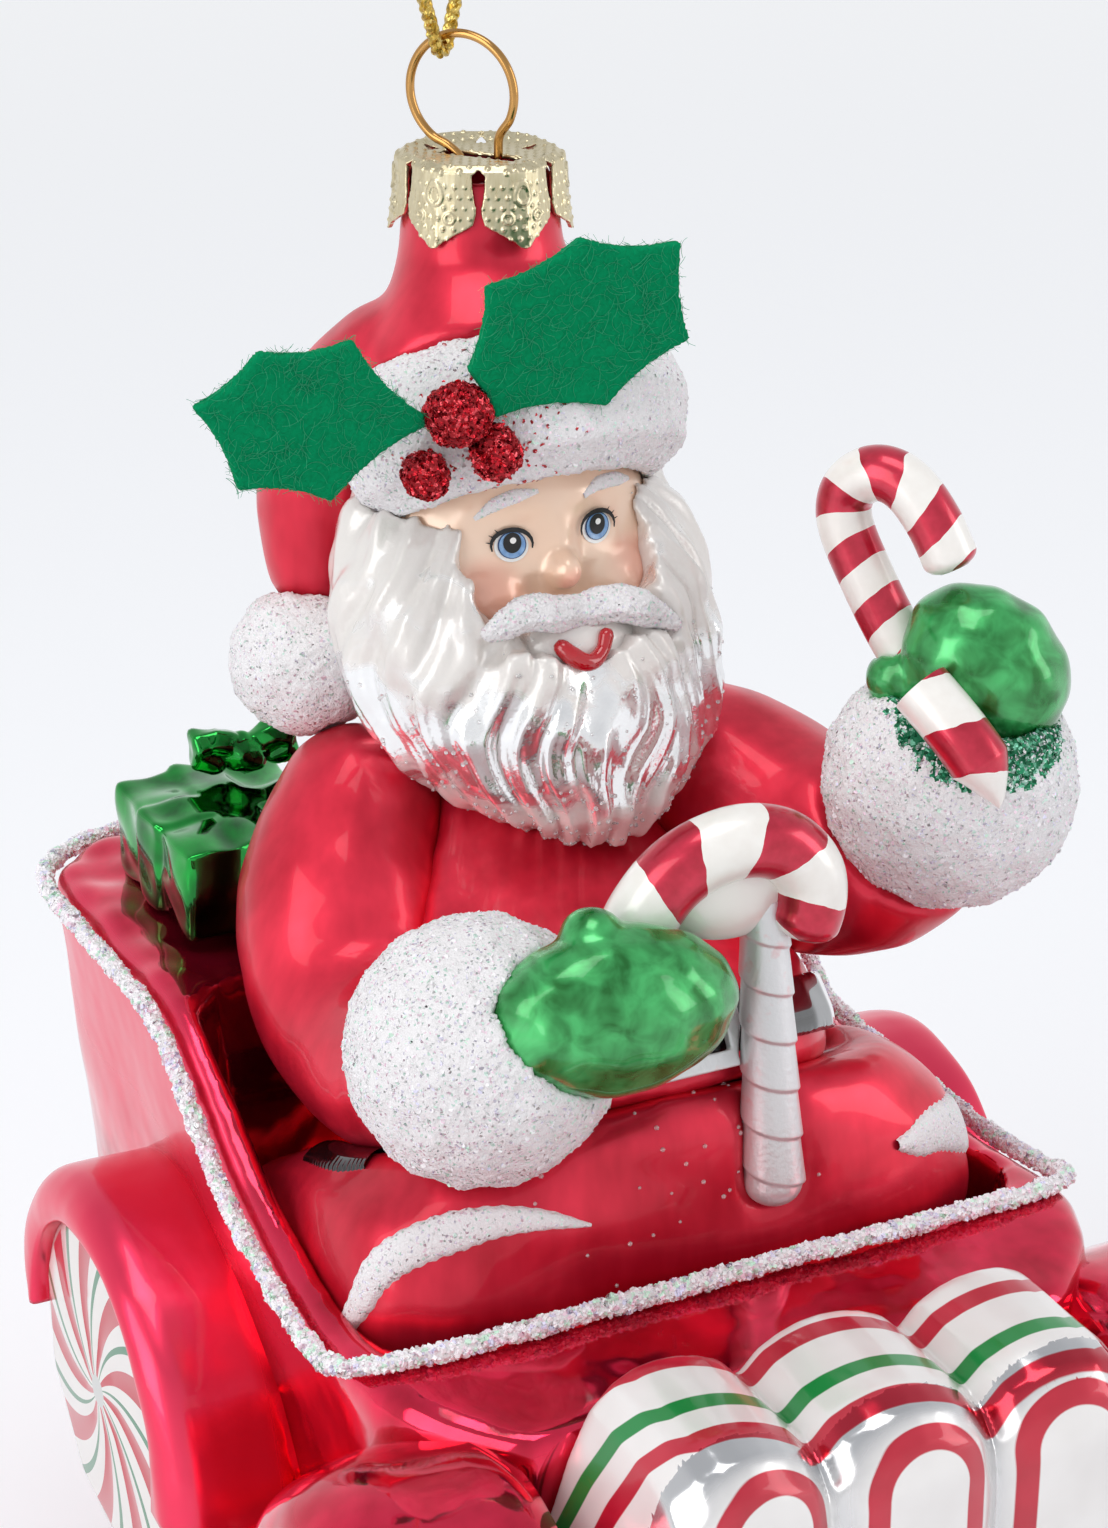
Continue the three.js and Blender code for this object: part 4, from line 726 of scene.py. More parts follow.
dressed("hat", "santa_hat", redSatin, 0.45, 40, 0.15, blown(0.14, 12))
dressed("hat_brim", "hat_fur_brim", whiteGlitter, 0.32, 6, 0.12, sugared(0.06))
dressed("pompom", "hat_pompom", whiteGlitter, 0.32, 4, 0.12, sugared(0.06))
moustache = dressed("moustache", "fur_moustache", whiteGlitter, 0.2, 8, -0.22, sugared(0.05))
for vertex in moustache.data.vertices:
    vertex.co.z += 0.3 * max(0, place(-2, 0, 0)[0] - vertex.co.x)
for side in ("right", "left"):
    dressed(f"{side}_cuff", f"{side}_fur_cuff", whiteGlitter, 0.32, 4, 0.12, sugared(0.06))
    dressed(f"{side}_arm", f"{side}_sleeve", redSatin, 0.5, 60, 0.35, blown(0.16, 13, 4))
    dressed(f"{side}_mitten", f"{side}_glass_mitten", greenBrushAndSheen, 0.32, 30, 0.3,
            blown(0.1, 5, 6))
dressed("torso", "coat_body", redSatin, 0.5, 50, 0.3, blown(0.18, 12, 8))
coatLap = dressed("coat_skirt", "coat_lap", redSatin, 0.55, 42, 0.25, blown(0.2, 11, 9))
hems = {
    "right": {
        "line": [(-29.9, -38.6, 35.6), (-29.8, -40.2, 38.6), (-29.2, -41, 41.2), (-27.6, -42, 43.2),
                 (-24.2, -43.1, 44.7), (-20, -44.6, 45.7), (-15.7, -45.5, 45.4), (-11.8, -46.4, 44.3)],
        "widths": (1.6, 2.6, 3.2, 3.5, 3.4, 2.6, 1.6, 0.3),
    },
    "left": {
        "line": [(17.3, -44.9, 43.6), (19.6, -44.6, 43.3), (22.3, -43.3, 43.1), (24.6, -42.2, 42.4),
                 (27, -40.4, 41.2), (28.4, -37.4, 40)],
        "widths": (0.9, 3.4, 4.2, 5.2, 5.4, 2.0),
    },
}
lapSkin = surfaceOf(coatLap.data)
for side, hem in hems.items():
    furStrip(f"{side}_fur_hem", lapSkin, hem["line"], hem["widths"], 0.75, replaces=[f"{side}_coat_hem"])
dressed("belt", "gloss_belt", blackGloss, 0.3, 14, 0.12)
beltEnd = [(-25.8, -22.5, 43.5), (-25.8, -25.5, 44.4), (-25.5, -28.5, 45.4), (-24.4, -31.5, 47)]
furStrip("belt_end_at_hip", lapSkin, beltEnd, (3.6, 3.8, 3.8, 3.4), 0.5, blackGloss)
dressed("belt_buckle", "silver_buckle", silverShaft, 0.15, 3, 0.02)
wrist = {"centre": (28.2, -39.4, 80.8), "reach": 8.5}


def greenWrist(points, soft=0.0):
    # Green glitter has run over the cuff round the raised mitten
    away = np.linalg.norm(points - np.array(wrist["centre"]), axis=1) + 0.5 * ripple(points, 1.6, 15)
    return np.clip(1 - (away - wrist["reach"]) / soft, 0, 1) if soft else away < wrist["reach"]


# A ring of dark green sand with silver points
greenGrit = glitter("green and silver glitter", "#0d6a45", ["#1d8f60", "#0a5a3a", "#7fd0ae", "#c9e9dc"], 0.3,
                    0.7, metallic=0.4, shine=0.25)
leftCuff = bpy.data.objects["left_fur_cuff"].data
leftCuff.materials.append(greenGrit)
inGreen = greenWrist(mmPoints(leftCuff))
for polygon in leftCuff.polygons:
    polygon.material_index = int(inGreen[polygon.vertices[0]])
print("coat made")

face = {
    "eyes": ((-4.1, 90.9), (3.8, 91.3)),
    "sclera": (1.46, 1.34),
    "iris": 1.12,
    "pupil": (0.78, 0.88),
    "glint": 0.27,
    # Soft rises of the skin: x and z, half width and half height, rise; these three are set off from each eye
    "aroundEye": ((0, 0, 2.2, 1.7, -0.35), (0, 3.0, 3.0, 1.0, 0.35), (0, -2.3, 2.4, 0.6, 0.16)),
    "bridge": (0.3, 90.2, 1.5, 2.6, 0.5),
    # Rises about a point: the point, reach, rise
    "cheeks": (((-8.2, -13.6, 86.4), 3.6, 0.75), ((8.6, -13.6, 86.4), 3.6, 0.75)),
    "noseTip": ((0, -17.6, 88.2), 3.0, -0.95),
}


def features(p, n):
    total = 0.08 * ripple(p, 5, 12)
    soft = [(x + dx, z + dz, w, h, rise) for x, z in face["eyes"] for dx, dz, w, h, rise in face["aroundEye"]]
    for x, z, wide, high, rise in soft + [face["bridge"]]:
        away = np.hypot((p[:, 0] - x) / wide, (p[:, 2] - z) / high)
        total += rise * np.exp(-(away ** 2)) * (n[:, 1] < 0)
    for spot, reach, rise in face["cheeks"] + (face["noseTip"],):
        total += rise * np.exp(-((np.linalg.norm(p - np.array(spot), axis=1) / reach) ** 2))
    return total


headMesh = evenCopy("head", 0.3, 26)
push(headMesh, lambda p, n: 0.06 + features(p, n))
newPiece("face_and_head", headMesh, "glass", skin, ["head"])
headSkin = surfaceOf(headMesh)


def onFace(x, z, lift):
    start = place(x, -40, z)
    hit = headSkin.ray_cast(start, Vector((0, 1, 0)))
    spot, normal = (hit[0], hit[1]) if hit[0] is not None else (place(x, -15, z), Vector((0, -1, 0)))
    return spot + Vector((0, -lift / 1000, 0)) + normal * lift / 2000


def paintDots(name, spots, radii, lift, material):
    points, faces = [], []
    for x, z in spots:
        base = len(points)
        points.append(onFace(x, z, lift))
        for k in range(1, 4):
            for j in range(28):
                a = j / 28 * 2 * math.pi
                across, up = radii[0] * k / 3 * math.cos(a), radii[1] * k / 3 * math.sin(a)
                points.append(onFace(x + across, z + up, lift))
        for j in range(28):
            i = (j + 1) % 28
            faces.append((base, base + 1 + j, base + 1 + i))
            for k in range(2):
                a = base + 1 + k * 28
                faces.append((a + j, a + 28 + j, a + 28 + i, a + i))
    return newPiece(name, meshFrom(name, points, faces), "glass", material)


def paintStrokes(name, strokes, lift, material):
    points, faces = [], []
    for line in strokes:
        base = len(points)
        for i, (x, z, width) in enumerate(line):
            a, b = line[max(0, i - 1)], line[min(len(line) - 1, i + 1)]
            dx, dz = b[0] - a[0], b[1] - a[1]
            size = math.hypot(dx, dz)
            nx, nz = -dz / size * width / 2, dx / size * width / 2
            points += [onFace(x + nx, z + nz, lift), onFace(x, z, lift), onFace(x - nx, z - nz, lift)]
        for i in range(len(line) - 1):
            a = base + 3 * i
            faces += [(a, a + 1, a + 4, a + 3), (a + 1, a + 2, a + 5, a + 4)]
    return newPiece(name, meshFrom(name, points, faces), "glass", material)


def addEyes():
    # Painted eyes: glossy white and blue, a flat black pupil and lashes, and a white dot on each that is a
    # painted highlight
    white = finish("white eye enamel", "#f4f4f2", 0.2, 0, 0.6)[0]
    blue, tree, shader, where = finish("blue iris enamel", "#5a93cf", 0.2, 0, 0.6)
    rays = add(tree, "TexNoise", {"Vector": where, "Scale": perMm(0.4), "Detail": 2.0})
    feed(shader, {"Base Color": add(tree, "Mix", {0: rays, 6: "#3f78bb", 7: "#9cc4ea"})})
    black = finish("black eye enamel", "#08080a", 0.35)[0]
    rim = finish("dark blue enamel", "#1d3f73", 0.2, 0, 0.6)[0]
    eyes = face["eyes"]
    gaze = [(x + 0.05, z + 0.1) for x, z in eyes]
    paintDots("eye_whites", eyes, face["sclera"], 0.06, white)
    paintDots("iris_rims", gaze, (face["iris"] + 0.1, face["iris"] + 0.05), 0.1, rim)
    paintDots("irises", gaze, (face["iris"], face["iris"] - 0.03), 0.14, blue)
    paintDots("pupils", [(x, z + 0.2) for x, z in gaze], face["pupil"], 0.18, black)
    # The white dot on each eye is a painted highlight
    paintDots("glints", [(x + 0.06, z + 0.4) for x, z in gaze], (face["glint"], face["glint"]), 0.22, white)
    strokes = []
    for (x, z), side in zip(eyes, (-1, 1)):
        upper = []
        for k in range(13):
            a = math.radians(196 - 212 * k / 12)
            upper.append((x + 1.75 * math.cos(a), z + 0.1 + 1.36 * math.sin(a),
                          0.12 + 0.3 * math.sin(math.pi * k / 12)))
        strokes.append(upper)
        for a in (128, 148, 168):
            t = math.radians(a if side < 0 else 180 - a)
            lash = ((1.6, 0.18), (1.9, 0.12), (2.2, 0.03))
            strokes.append([(x + r * math.cos(t), z + 0.1 + r * 0.82 * math.sin(t), w) for r, w in lash])
    paintStrokes("eye_lashes", strokes, 0.2, black)


addEyes()
brows = {
    "right": ([(-6.7, -14.4, 93.2), (-5.2, -14.9, 94.2), (-3.4, -15.2, 94.8), (-1.4, -15.5, 95.1)],
              (0.4, 1.2, 1.3, 0.4)),
    "left": ([(2.5, -15.7, 94.2), (4.3, -15.1, 94.7), (6, -14.5, 94.7), (8.2, -13, 94)],
             (0.5, 1.3, 1.3, 0.4)),
}
for side, (line, widths) in brows.items():
    furStrip(f"{side}_brow", headSkin, line, widths, 0.4)


def addMouth():
    # The lower lip stands on a small pearl chin between moustache and beard
    mesh = roundBody("pearl_chin", (0.6, -18.4, 82.0), (5.6, 3.6, 4.0), 48, 32)
    newPiece("pearl_chin", mesh, "glass", beardSilver)
    # Thick wet-looking red
    enamel = finish("red lip enamel", "#b40014", 0.12, 0, 0.8)[0]
    path = [(-2.2, -21.6, 83.5), (-1.6, -22.2, 82.9), (-0.6, -22.6, 82.3), (0.4, -22.5, 82.3),
            (1.3, -22.2, 83.0), (1.8, -21.8, 84.0)]
    line, _ = smoothLine([np.array(place(*p)) for p in path], 40)
    radii = (0.75, 0.85, 0.8, 0.72, 0.6, 0.66)
    mesh = sweep("lips", line, lambda t, a: np.interp(t, np.linspace(0, 1, 6), radii) / 1000, 14)
    newPiece("lips", mesh, "glass", enamel)


addMouth()

beard = {"lock": 3.6, "depth": 0.65, "centre": (1.2, -10.3), "mouth": (0, -22.5, 81.6)}


def locks(p, n):
    x, y = p[:, 0] - beard["centre"][0], p[:, 1] - beard["centre"][1]
    s = np.arctan2(x, -y) * 15
    t = s / beard["lock"] + 0.3 * np.sin(p[:, 2] / 3.4 + s / 6) + 0.22 * ripple(p, 12, 20)
    ridge = (0.5 + 0.5 * np.cos(2 * np.pi * t)) ** 0.8
    strand = 0.09 * np.cos(2 * np.pi * t * 2.5 + p[:, 2] / 2)
    relief = beard["depth"] * (ridge - 0.45) + strand + 0.1 * ripple(p, 4, 21)
    mouth = np.exp(-(np.linalg.norm(p - np.array(beard["mouth"]), axis=1) / 3.4) ** 2)
    return relief * (1 - mouth) - 0.9 * mouth


beardMesh = evenCopy("beard", 0.32, 6)
offSkin = np.array([headSkin.find_nearest(v.co)[3] for v in beardMesh.vertices]) * 1000
push(beardMesh, lambda p, n: 0.12 + locks(p, n) * np.clip(offSkin / 1.5, 0, 1))
newPiece("wavy_beard", beardMesh, "glass", beardSilver, ["beard"])
print("head made")

# Candy canes
canes = {
    "raised": {
        "line": [
            (29.9, -37.4, 70.2), (28.5, -35.2, 74.2), (26.8, -32.6, 78.5), (25, -29.7, 82.7),
            (23.4, -27.2, 87.5), (22.3, -25.5, 91.6), (22.3, -25.4, 94.2), (23, -26.6, 96),
            (24.1, -28.4, 96.7), (25.4, -30.3, 95.8), (26.7, -32.3, 93.1), (27.7, -34, 89.6),
        ],
        "radius": 2.35, "pitch": 5.3, "phase": 0.99, "slant": 0.9, "turn": 0.1,
    },
    "below_mitten": {
        "line": [
            (22.2, -38.2, 81.6), (23.6, -41.2, 79.0), (24.9, -43.3, 76.4), (25.7, -44.5, 74.0),
            (25.9, -45.0, 72.8),
        ],
        "radius": 2.55, "pitch": 8.6, "phase": 0.84, "slant": 0.9, "turn": 0.2,
    },
    "crook": {
        "line": [
            (-7.2, -42.8, 66.4), (-5.6, -43.1, 69.6), (-3.5, -43.5, 72.2), (-0.9, -44.1, 73.9),
            (2.3, -44.7, 74.6), (5.4, -45.2, 73.8), (7.5, -45.6, 71.4), (7.8, -45.7, 68.6),
            (6.8, -45.6, 65.6),
        ],
        "radius": 2.95, "pitch": 8.4, "phase": 0.46, "slant": 1.1, "turn": 0.4,
    },
    "shaft": {"top": (4.6, -43.8, 69), "foot": (5.4, -45.6, 41.6), "turns": 6.5, "lap": 0.1},
}


def bands(mesh, facts):
    # Band number on every face corner, from the turn and length that sweep() put in the UV map
    uv = np.empty(len(mesh.loops) * 2, dtype=np.float32)
    mesh.uv_layers[0].data.foreach_get("uv", uv)
    uv = uv.reshape(-1, 2)
    tilt = facts["slant"] * np.cos(2 * np.pi * (uv[:, 0] - facts["turn"]))
    along = (uv[:, 1] - uv[:, 1].max()) * 1000
    layer = mesh.attributes.new("stripe", "FLOAT", "CORNER")
    layer.data.foreach_set("value", ((along + tilt) / facts["pitch"] + facts["phase"]).astype(np.float32))


def caneTube(name, facts, shape, replaces=()):
    line, _ = smoothLine([np.array(place(*p)) for p in facts["line"]], 150)
    mesh = sweep(name, line, lambda t, a: facts["radius"] / 1000 * shape(t), 36, domed=False)
    bands(mesh, facts)
    return newPiece(name, mesh, "glass", caneStripes, replaces)


def cutEnd(t):
    # A cane's end is cut flat, with a soft edge
    return math.sqrt(max(0.04, 1 - max(0, (t - 0.975) / 0.03) ** 2))


def pointedEnd(t):
    return 1 if t < 0.66 else max(0.03, ((1 - t) / 0.34) ** 0.8)


def roundedEnd(t):
    return math.sqrt(max(0.02, 1 - max(0, (t - 0.93) / 0.072) ** 2))


caneTube("raised_candy_cane", canes["raised"], cutEnd, ["left_candy_cane"])
caneTube("cane_end_below_mitten", canes["below_mitten"], pointedEnd)
caneTube("cane_crook", canes["crook"], roundedEnd, ["right_candy_cane"])


def addShaft():
    facts = canes["shaft"]
    top, foot = np.array(place(*facts["top"])), np.array(place(*facts["foot"]))
    line = top + (foot - top) * np.linspace(0, 1, 260)[:, None]

    def wrapped(t, a):
        overlap = (a / (2 * np.pi) + t * facts["turns"]) % 1
        rounded = math.sqrt(max(0.05, 1 - max(0, (t - 0.92) / 0.082) ** 2))
        step = np.clip(overlap / 0.93, 0, 1) - np.clip((overlap - 0.93) / 0.07, 0, 1) - 0.5
        return (1.95 + 0.65 * t) / 1000 * rounded * (1 + facts["lap"] * step)

    shaft = sweep("cane_shaft", line, wrapped, 64, domed=False)
    newPiece("cane_shaft", shaft, "glass", silverShaft)
    mesh = roundBody("cane_web", (1.8, -44, 70.2), (6.2, 1.9, 4.2), 40, 24)
    # Creamy white with a soft sheen, as between the red bands
    pearl = finish("white pearl paint", "#f1ece6", 0.3, 0.1, 0.6, 0.08)[0]
    newPiece("cane_web", mesh, "glass", pearl)


addShaft()
print("canes made")

# Presents
dressed("gift_box", "green_present", greenMirror, 0.3, 8, 0.1, blown(0.25, 6, 41))
dressed("gift_bow", "green_bow", greenMirror, 0.2, 4, 0.1, blown(0.15, 3, 42))


# The car
def crinkled(p, n):
    deck = np.clip((p[:, 2] - 50) / 2, 0, 1) * np.clip((p[:, 1] + 8) / 4, 0, 1)
    return 0.1 * ripple(p, 13, 51) + 0.27 * deck * ripple(p, 6.5, 52)


dressed("car_tub", "glass_car_tub", redMirror, 0.6, 26, 0.1, crinkled)
for side in ("right", "left"):
    dressed(f"{side}_running_board", f"{side}_step_board", redMirror, 0.4, 12, 0.05,
            blown(0.22, 5, 55))

hood = {
    "lines": ((-64.2, 0.95, "red"), (-70.0, 0.85, "green"), (-74.3, 0.95, "red")),
    "skew": -0.09,
    "arches": (-13.2, 0.2, 13.6),
    "archHalf": 4.3,
    "archSpring": 35.3,
    "archLine": 0.85,
    "archTop": -77.0,
    "front": -74.9,
    "bareFrom": -73.5,
}


def paintHood(mesh):
    p = mmPoints(mesh)
    x, y, z = p.T
    top = {"red": np.full(len(p), 9.0), "green": np.full(len(p), 9.0)}
    for at, half, tone in hood["lines"]:
        line = at + hood["skew"] * np.clip(x, -30, 30) + 0.6 * np.clip(np.abs(x) - 17, 0, 8)
        top[tone] = np.minimum(top[tone], np.abs(y - line) - half)
    arch = np.full(len(p), 9.0)
    for centre in hood["arches"]:
        high = np.maximum(z - hood["archSpring"], 0) + np.maximum(y - hood["archTop"], 0) * 0.9
        arch = np.minimum(arch, np.hypot(x - centre, high) - hood["archHalf"])
    front = y < hood["front"]
    onLine = np.where(front | (z < 30), np.abs(arch) - hood["archLine"], 9)
    numberOn(mesh, "redLine", np.minimum(np.where(arch < hood["archLine"], 9, top["red"]), onLine))
    numberOn(mesh, "greenLine", np.where(arch < hood["archLine"], 9, top["green"]))
    numberOn(mesh, "bareGlass", np.where((y < hood["bareFrom"]) & (arch > 0.2), -(arch - 1.6), 6))


hoodMesh = evenCopy("candy_hood", 0.35, 8)
push(hoodMesh, lambda p, n: 0.08 + 0.05 * ripple(p, 8, 61))
paintHood(hoodMesh)
newPiece("ribbon_candy_hood", hoodMesh, "glass", hoodPaint, ["candy_hood"])

wheels = {
    "radius": 16,
    "width": 7.8,
    "inner": 33.8,
    "dish": (14.6, 34),  # radius of the swollen face and the rings it is drawn in
    "rays": 9,
    "twist": 0.055,
    "groove": 0.28,
    "axles": {"rear": -10, "front": -63},
}


def addWheel(side, end, axle):
    name = f"{end}_{'right' if side < 0 else 'left'}_wheel"
    dish, rings = wheels["dish"]
    radii = list(np.linspace(0.02, dish, rings)) + [15.3, 15.8, 16, 16, 16, 15.6, 14]
    inner = wheels["inner"]
    out = inner + wheels["width"]
    rimX = [out - 0.35, out - 1.0, out - 1.9, out - 3.9, inner + 1.6, inner + 0.4, inner]
    turns = 216
    points, swirl, hub, rim = [], [], [], []
    for i, r in enumerate(radii):
        for j in range(turns):
            a = 2 * math.pi * j / turns
            count = a / (2 * math.pi) * wheels["rays"] + wheels["twist"] * r * side
            x = out
            if i < rings:
                wave = 0.5 + 0.5 * math.cos(2 * math.pi * (count - 0.18))
                x += 0.5 * (1 - (r / dish) ** 2) - wheels["groove"] * wave * min(1, max(0, (r - 1.5) / 3))
            else:
                x = rimX[i - rings]
            points.append(place(side * x, axle + r * math.cos(a), wheels["radius"] + r * math.sin(a)))
            swirl.append(count)
            hub.append(r - 1.5)
            rim.append(14.9 - r)
    faces = [quad[::-1] if side > 0 else quad for quad in quads(len(radii), turns)]
    last = (len(radii) - 1) * turns
    for base, flip in ((0, side > 0), (last, side < 0)):
        loop = tuple(range(base, base + turns))
        faces.append(loop if flip else loop[::-1])
    mesh = meshFrom(name, points, faces)
    # The last ray would blend back to zero across the seam, so its numbers are stored on corners
    layer = mesh.attributes.new("swirl", "FLOAT", "CORNER")
    values = np.array(swirl)
    corners = np.empty(len(mesh.loops), dtype=np.int32)
    mesh.loops.foreach_get("vertex_index", corners)
    perCorner = values[corners]
    starts = np.array([p.loop_start for p in mesh.polygons])
    sizes = np.array([p.loop_total for p in mesh.polygons])
    for start, size in zip(starts[sizes == 4], sizes[sizes == 4]):
        part = perCorner[start:start + size]
        if part.max() - part.min() > wheels["rays"] / 2:
            part[part < part.max() - wheels["rays"] / 2] += wheels["rays"]
    layer.data.foreach_set("value", perCorner.astype(np.float32))
    numberOn(mesh, "hub", hub)
    numberOn(mesh, "rim", rim)
    newPiece(f"peppermint_{name}", mesh, "glass", mint, [name])


for end, axle in wheels["axles"].items():
    for side in (-1, 1):
        addWheel(side, end, axle)

# A fender's line is (y, z) from the axle in wheel radii, as in the part's source, with a fuller shoulder
fenders = {
    "front": {
        "line": [(1.663, -0.213), (1.538, 0.062), (1.275, 0.5), (0.913, 0.913), (0.525, 1.163), (0.062, 1.25),
                 (-0.438, 1.138), (-0.85, 0.812), (-1.088, 0.337), (-1.138, -0.213)],
        "inner": 25.0, "round": 8.0, "drop": 0,
    },
    "rear": {
        "line": [(-1.3, -0.213), (-1.21, 0.15), (-0.98, 0.62), (-0.5, 1.0), (0.06, 1.17), (0.562, 1.1),
                 (0.938, 0.85), (1.2, 0.462), (1.262, 0.038)],
        "inner": 29.0, "round": 3.4, "drop": 4.6,
    },
    "outer": 43,
    "face": 39.4,
    "lip": 15.3,
    "well": 15.9,
}


def addFender(side, end, axle):
    facts = fenders[end]
    radius = wheels["radius"]
    line = [np.array([y * radius, z * radius, 0.0]) for y, z in facts["line"]]
    if side > 0:
        line = [np.array([y, z - facts["drop"] * max(0, z + 3.4) / 22, 0.0]) for y, z, _ in line]
    line, _ = smoothLine(line, 120)
    inner, bow, lip, well = facts["inner"], facts["round"], fenders["lip"], fenders["well"]
    rim, face, back = fenders["outer"], fenders["face"], wheels["inner"] - 0.4
    flat = rim - bow
    points = []
    for step, (y, z, _) in enumerate(line):
        reach = math.hypot(y, z)
        closing = math.sqrt(1 - max(0, (step / (len(line) - 1) - 0.93) / 0.0705) ** 2) if end == "rear" else 1
        outer = max(well + 0.8 + (reach - well - 0.8) * closing, well + 0.9)
        bend = min(bow, outer - lip - 0.6)
        profile = [(inner, 1.0), (inner, outer - 2.6), (inner + 0.8, outer - 1.0), (inner + 3, outer)]
        profile += [(inner + 3 + (flat - inner - 3) * k / 4, outer) for k in range(1, 4)]
        for k in range(13):
            a = k / 12 * math.pi / 2
            profile.append((flat + bow * math.sin(a), outer - bend * (1 - math.cos(a))))
        profile += [(rim - 0.02, lip + 0.4), (rim - 0.2, lip + 0.1), (rim - 0.5, lip)]
        profile += [(face, lip), (face, well), (back, well), (back, 1.0)]
        for x, r in profile:
            points.append(place(side * x, axle + y / reach * r, radius + z / reach * r))
    rows, across = len(line), len(profile)
    faces = quads(rows, across)
    for base in (0, (rows - 1) * across):
        faces.append(tuple(range(base, base + across)))
    name = f"{end}_{'right' if side < 0 else 'left'}_fender"
    mesh = meshFrom(name, points, faces)
    work = bmesh.new()
    work.from_mesh(mesh)
    bmesh.ops.recalc_face_normals(work, faces=work.faces)
    work.to_mesh(mesh)
    work.free()
    push(mesh, lambda p, n: 0.1 * ripple(p, 11, 53))
    for polygon in mesh.polygons:
        polygon.use_smooth = polygon.loop_total == 4
    newPiece(f"blown_{name}", mesh, "glass", redMirror, [name])


for end, axle in wheels["axles"].items():
    for side in (-1, 1):
        addFender(side, end, axle)
print("car made")


# Glitter, beads and fibres, scattered with Geometry Nodes
def scatterTree():
    tree = bpy.data.node_groups.new("grain scatter", "GeometryNodeTree")
    sockets = {"Geometry": "Geometry", "Grain": "Object", "Density": "Float", "Smallest": "Float",
               "Largest": "Float", "Tumble": "Float", "Seed": "Int", "Finish": "Material"}
    for name, kind in sockets.items():
        tree.interface.new_socket(name, in_out="INPUT", socket_type="NodeSocket" + kind)
    tree.interface.new_socket("Geometry", in_out="OUTPUT", socket_type="NodeSocketGeometry")
    given = add(tree, "NodeGroupInput").outputs
    share = add(tree, "GeometryNodeInputNamedAttribute", {"Name": "sprinkle"}, data_type="FLOAT")
    density = add(tree, "Math", {0: share.outputs["Attribute"], 1: given["Density"]}, operation="MULTIPLY")
    spread = {"Mesh": given["Geometry"], "Density": density, "Seed": given["Seed"]}
    points = add(tree, "GeometryNodeDistributePointsOnFaces", spread)
    spin = add(tree, "CombineXYZ", {"X": given["Tumble"], "Y": given["Tumble"], "Z": math.pi})
    back = add(tree, "VectorMath", {0: spin, "Scale": -1.0}, operation="SCALE")
    angle = add(tree, "FunctionNodeRandomValue", {0: back, 1: spin, "Seed": given["Seed"]},
                data_type="FLOAT_VECTOR")
    size = add(tree, "FunctionNodeRandomValue", data_type="FLOAT")
    floats = [s for s in size.inputs if s.type == "VALUE"]
    tree.links.new(given["Smallest"], floats[0])
    tree.links.new(given["Largest"], floats[1])
    feed(size, {"Seed": given["Seed"]})
    euler = add(tree, "FunctionNodeEulerToRotation", {0: angle})
    turn = {"Rotation": points.outputs["Rotation"], "Rotate By": euler}
    turned = add(tree, "FunctionNodeRotateRotation", turn, rotation_space="LOCAL")
    shape = add(tree, "GeometryNodeObjectInfo", {"Object": given["Grain"]})
    placed = {"Points": points.outputs["Points"], "Instance": shape.outputs["Geometry"], "Rotation": turned,
              "Scale": size}
    grain = add(tree, "GeometryNodeInstanceOnPoints", placed)
    real = add(tree, "GeometryNodeRealizeInstances", {"Geometry": grain})
    painted = add(tree, "GeometryNodeSetMaterial", {"Geometry": real, "Material": given["Finish"]})
    add(tree, "NodeGroupOutput", {"Geometry": painted})
    return tree


scatter = scatterTree()


def grainShape(name, kind):
    mesh = bpy.data.meshes.new(name)
    work = bmesh.new()
    if kind == "bead":
        bmesh.ops.create_icosphere(work, subdivisions=1, radius=0.0005)
    elif kind == "flake":
        bmesh.ops.create_cone(work, cap_ends=True, segments=6, radius1=0.0005, radius2=0.0005, depth=0.00006)
    elif kind == "chip":
        bmesh.ops.create_cube(work, size=0.0008)
        bmesh.ops.rotate(work, verts=work.verts, matrix=Matrix.Rotation(0.6, 3, "X"))
    else:
        # A fibre: a thin three-sided hair, 1 unit long, bowed and lifted at its ends
        rows = 6
        for i in range(rows):
            t = i / (rows - 1) - 0.5
            for j in range(3):
                a = j / 3 * 2 * math.pi
                y = 0.00018 * (t * 2) ** 2 + 0.000012 * math.cos(a)
                z = 0.00003 + 0.00012 * (t * 2) ** 2 + 0.000012 * math.sin(a)
                work.verts.new((t * 0.001, y, z))
        work.verts.ensure_lookup_table()
        for i in range(rows - 1):
            for j in range(3):
                k = (j + 1) % 3
                work.faces.new([work.verts[3 * i + n] for n in (j, k, 3 + k, 3 + j)])
        bmesh.ops.recalc_face_normals(work, faces=work.faces)
    work.to_mesh(mesh)
    work.free()
    if kind == "bead":
        mesh.polygons.foreach_set("use_smooth", [True] * len(mesh.polygons))
    return bpy.data.objects.new(name, mesh)


grains = {kind: grainShape(f"grain_{kind}", kind) for kind in ("bead", "flake", "chip", "fibre")}


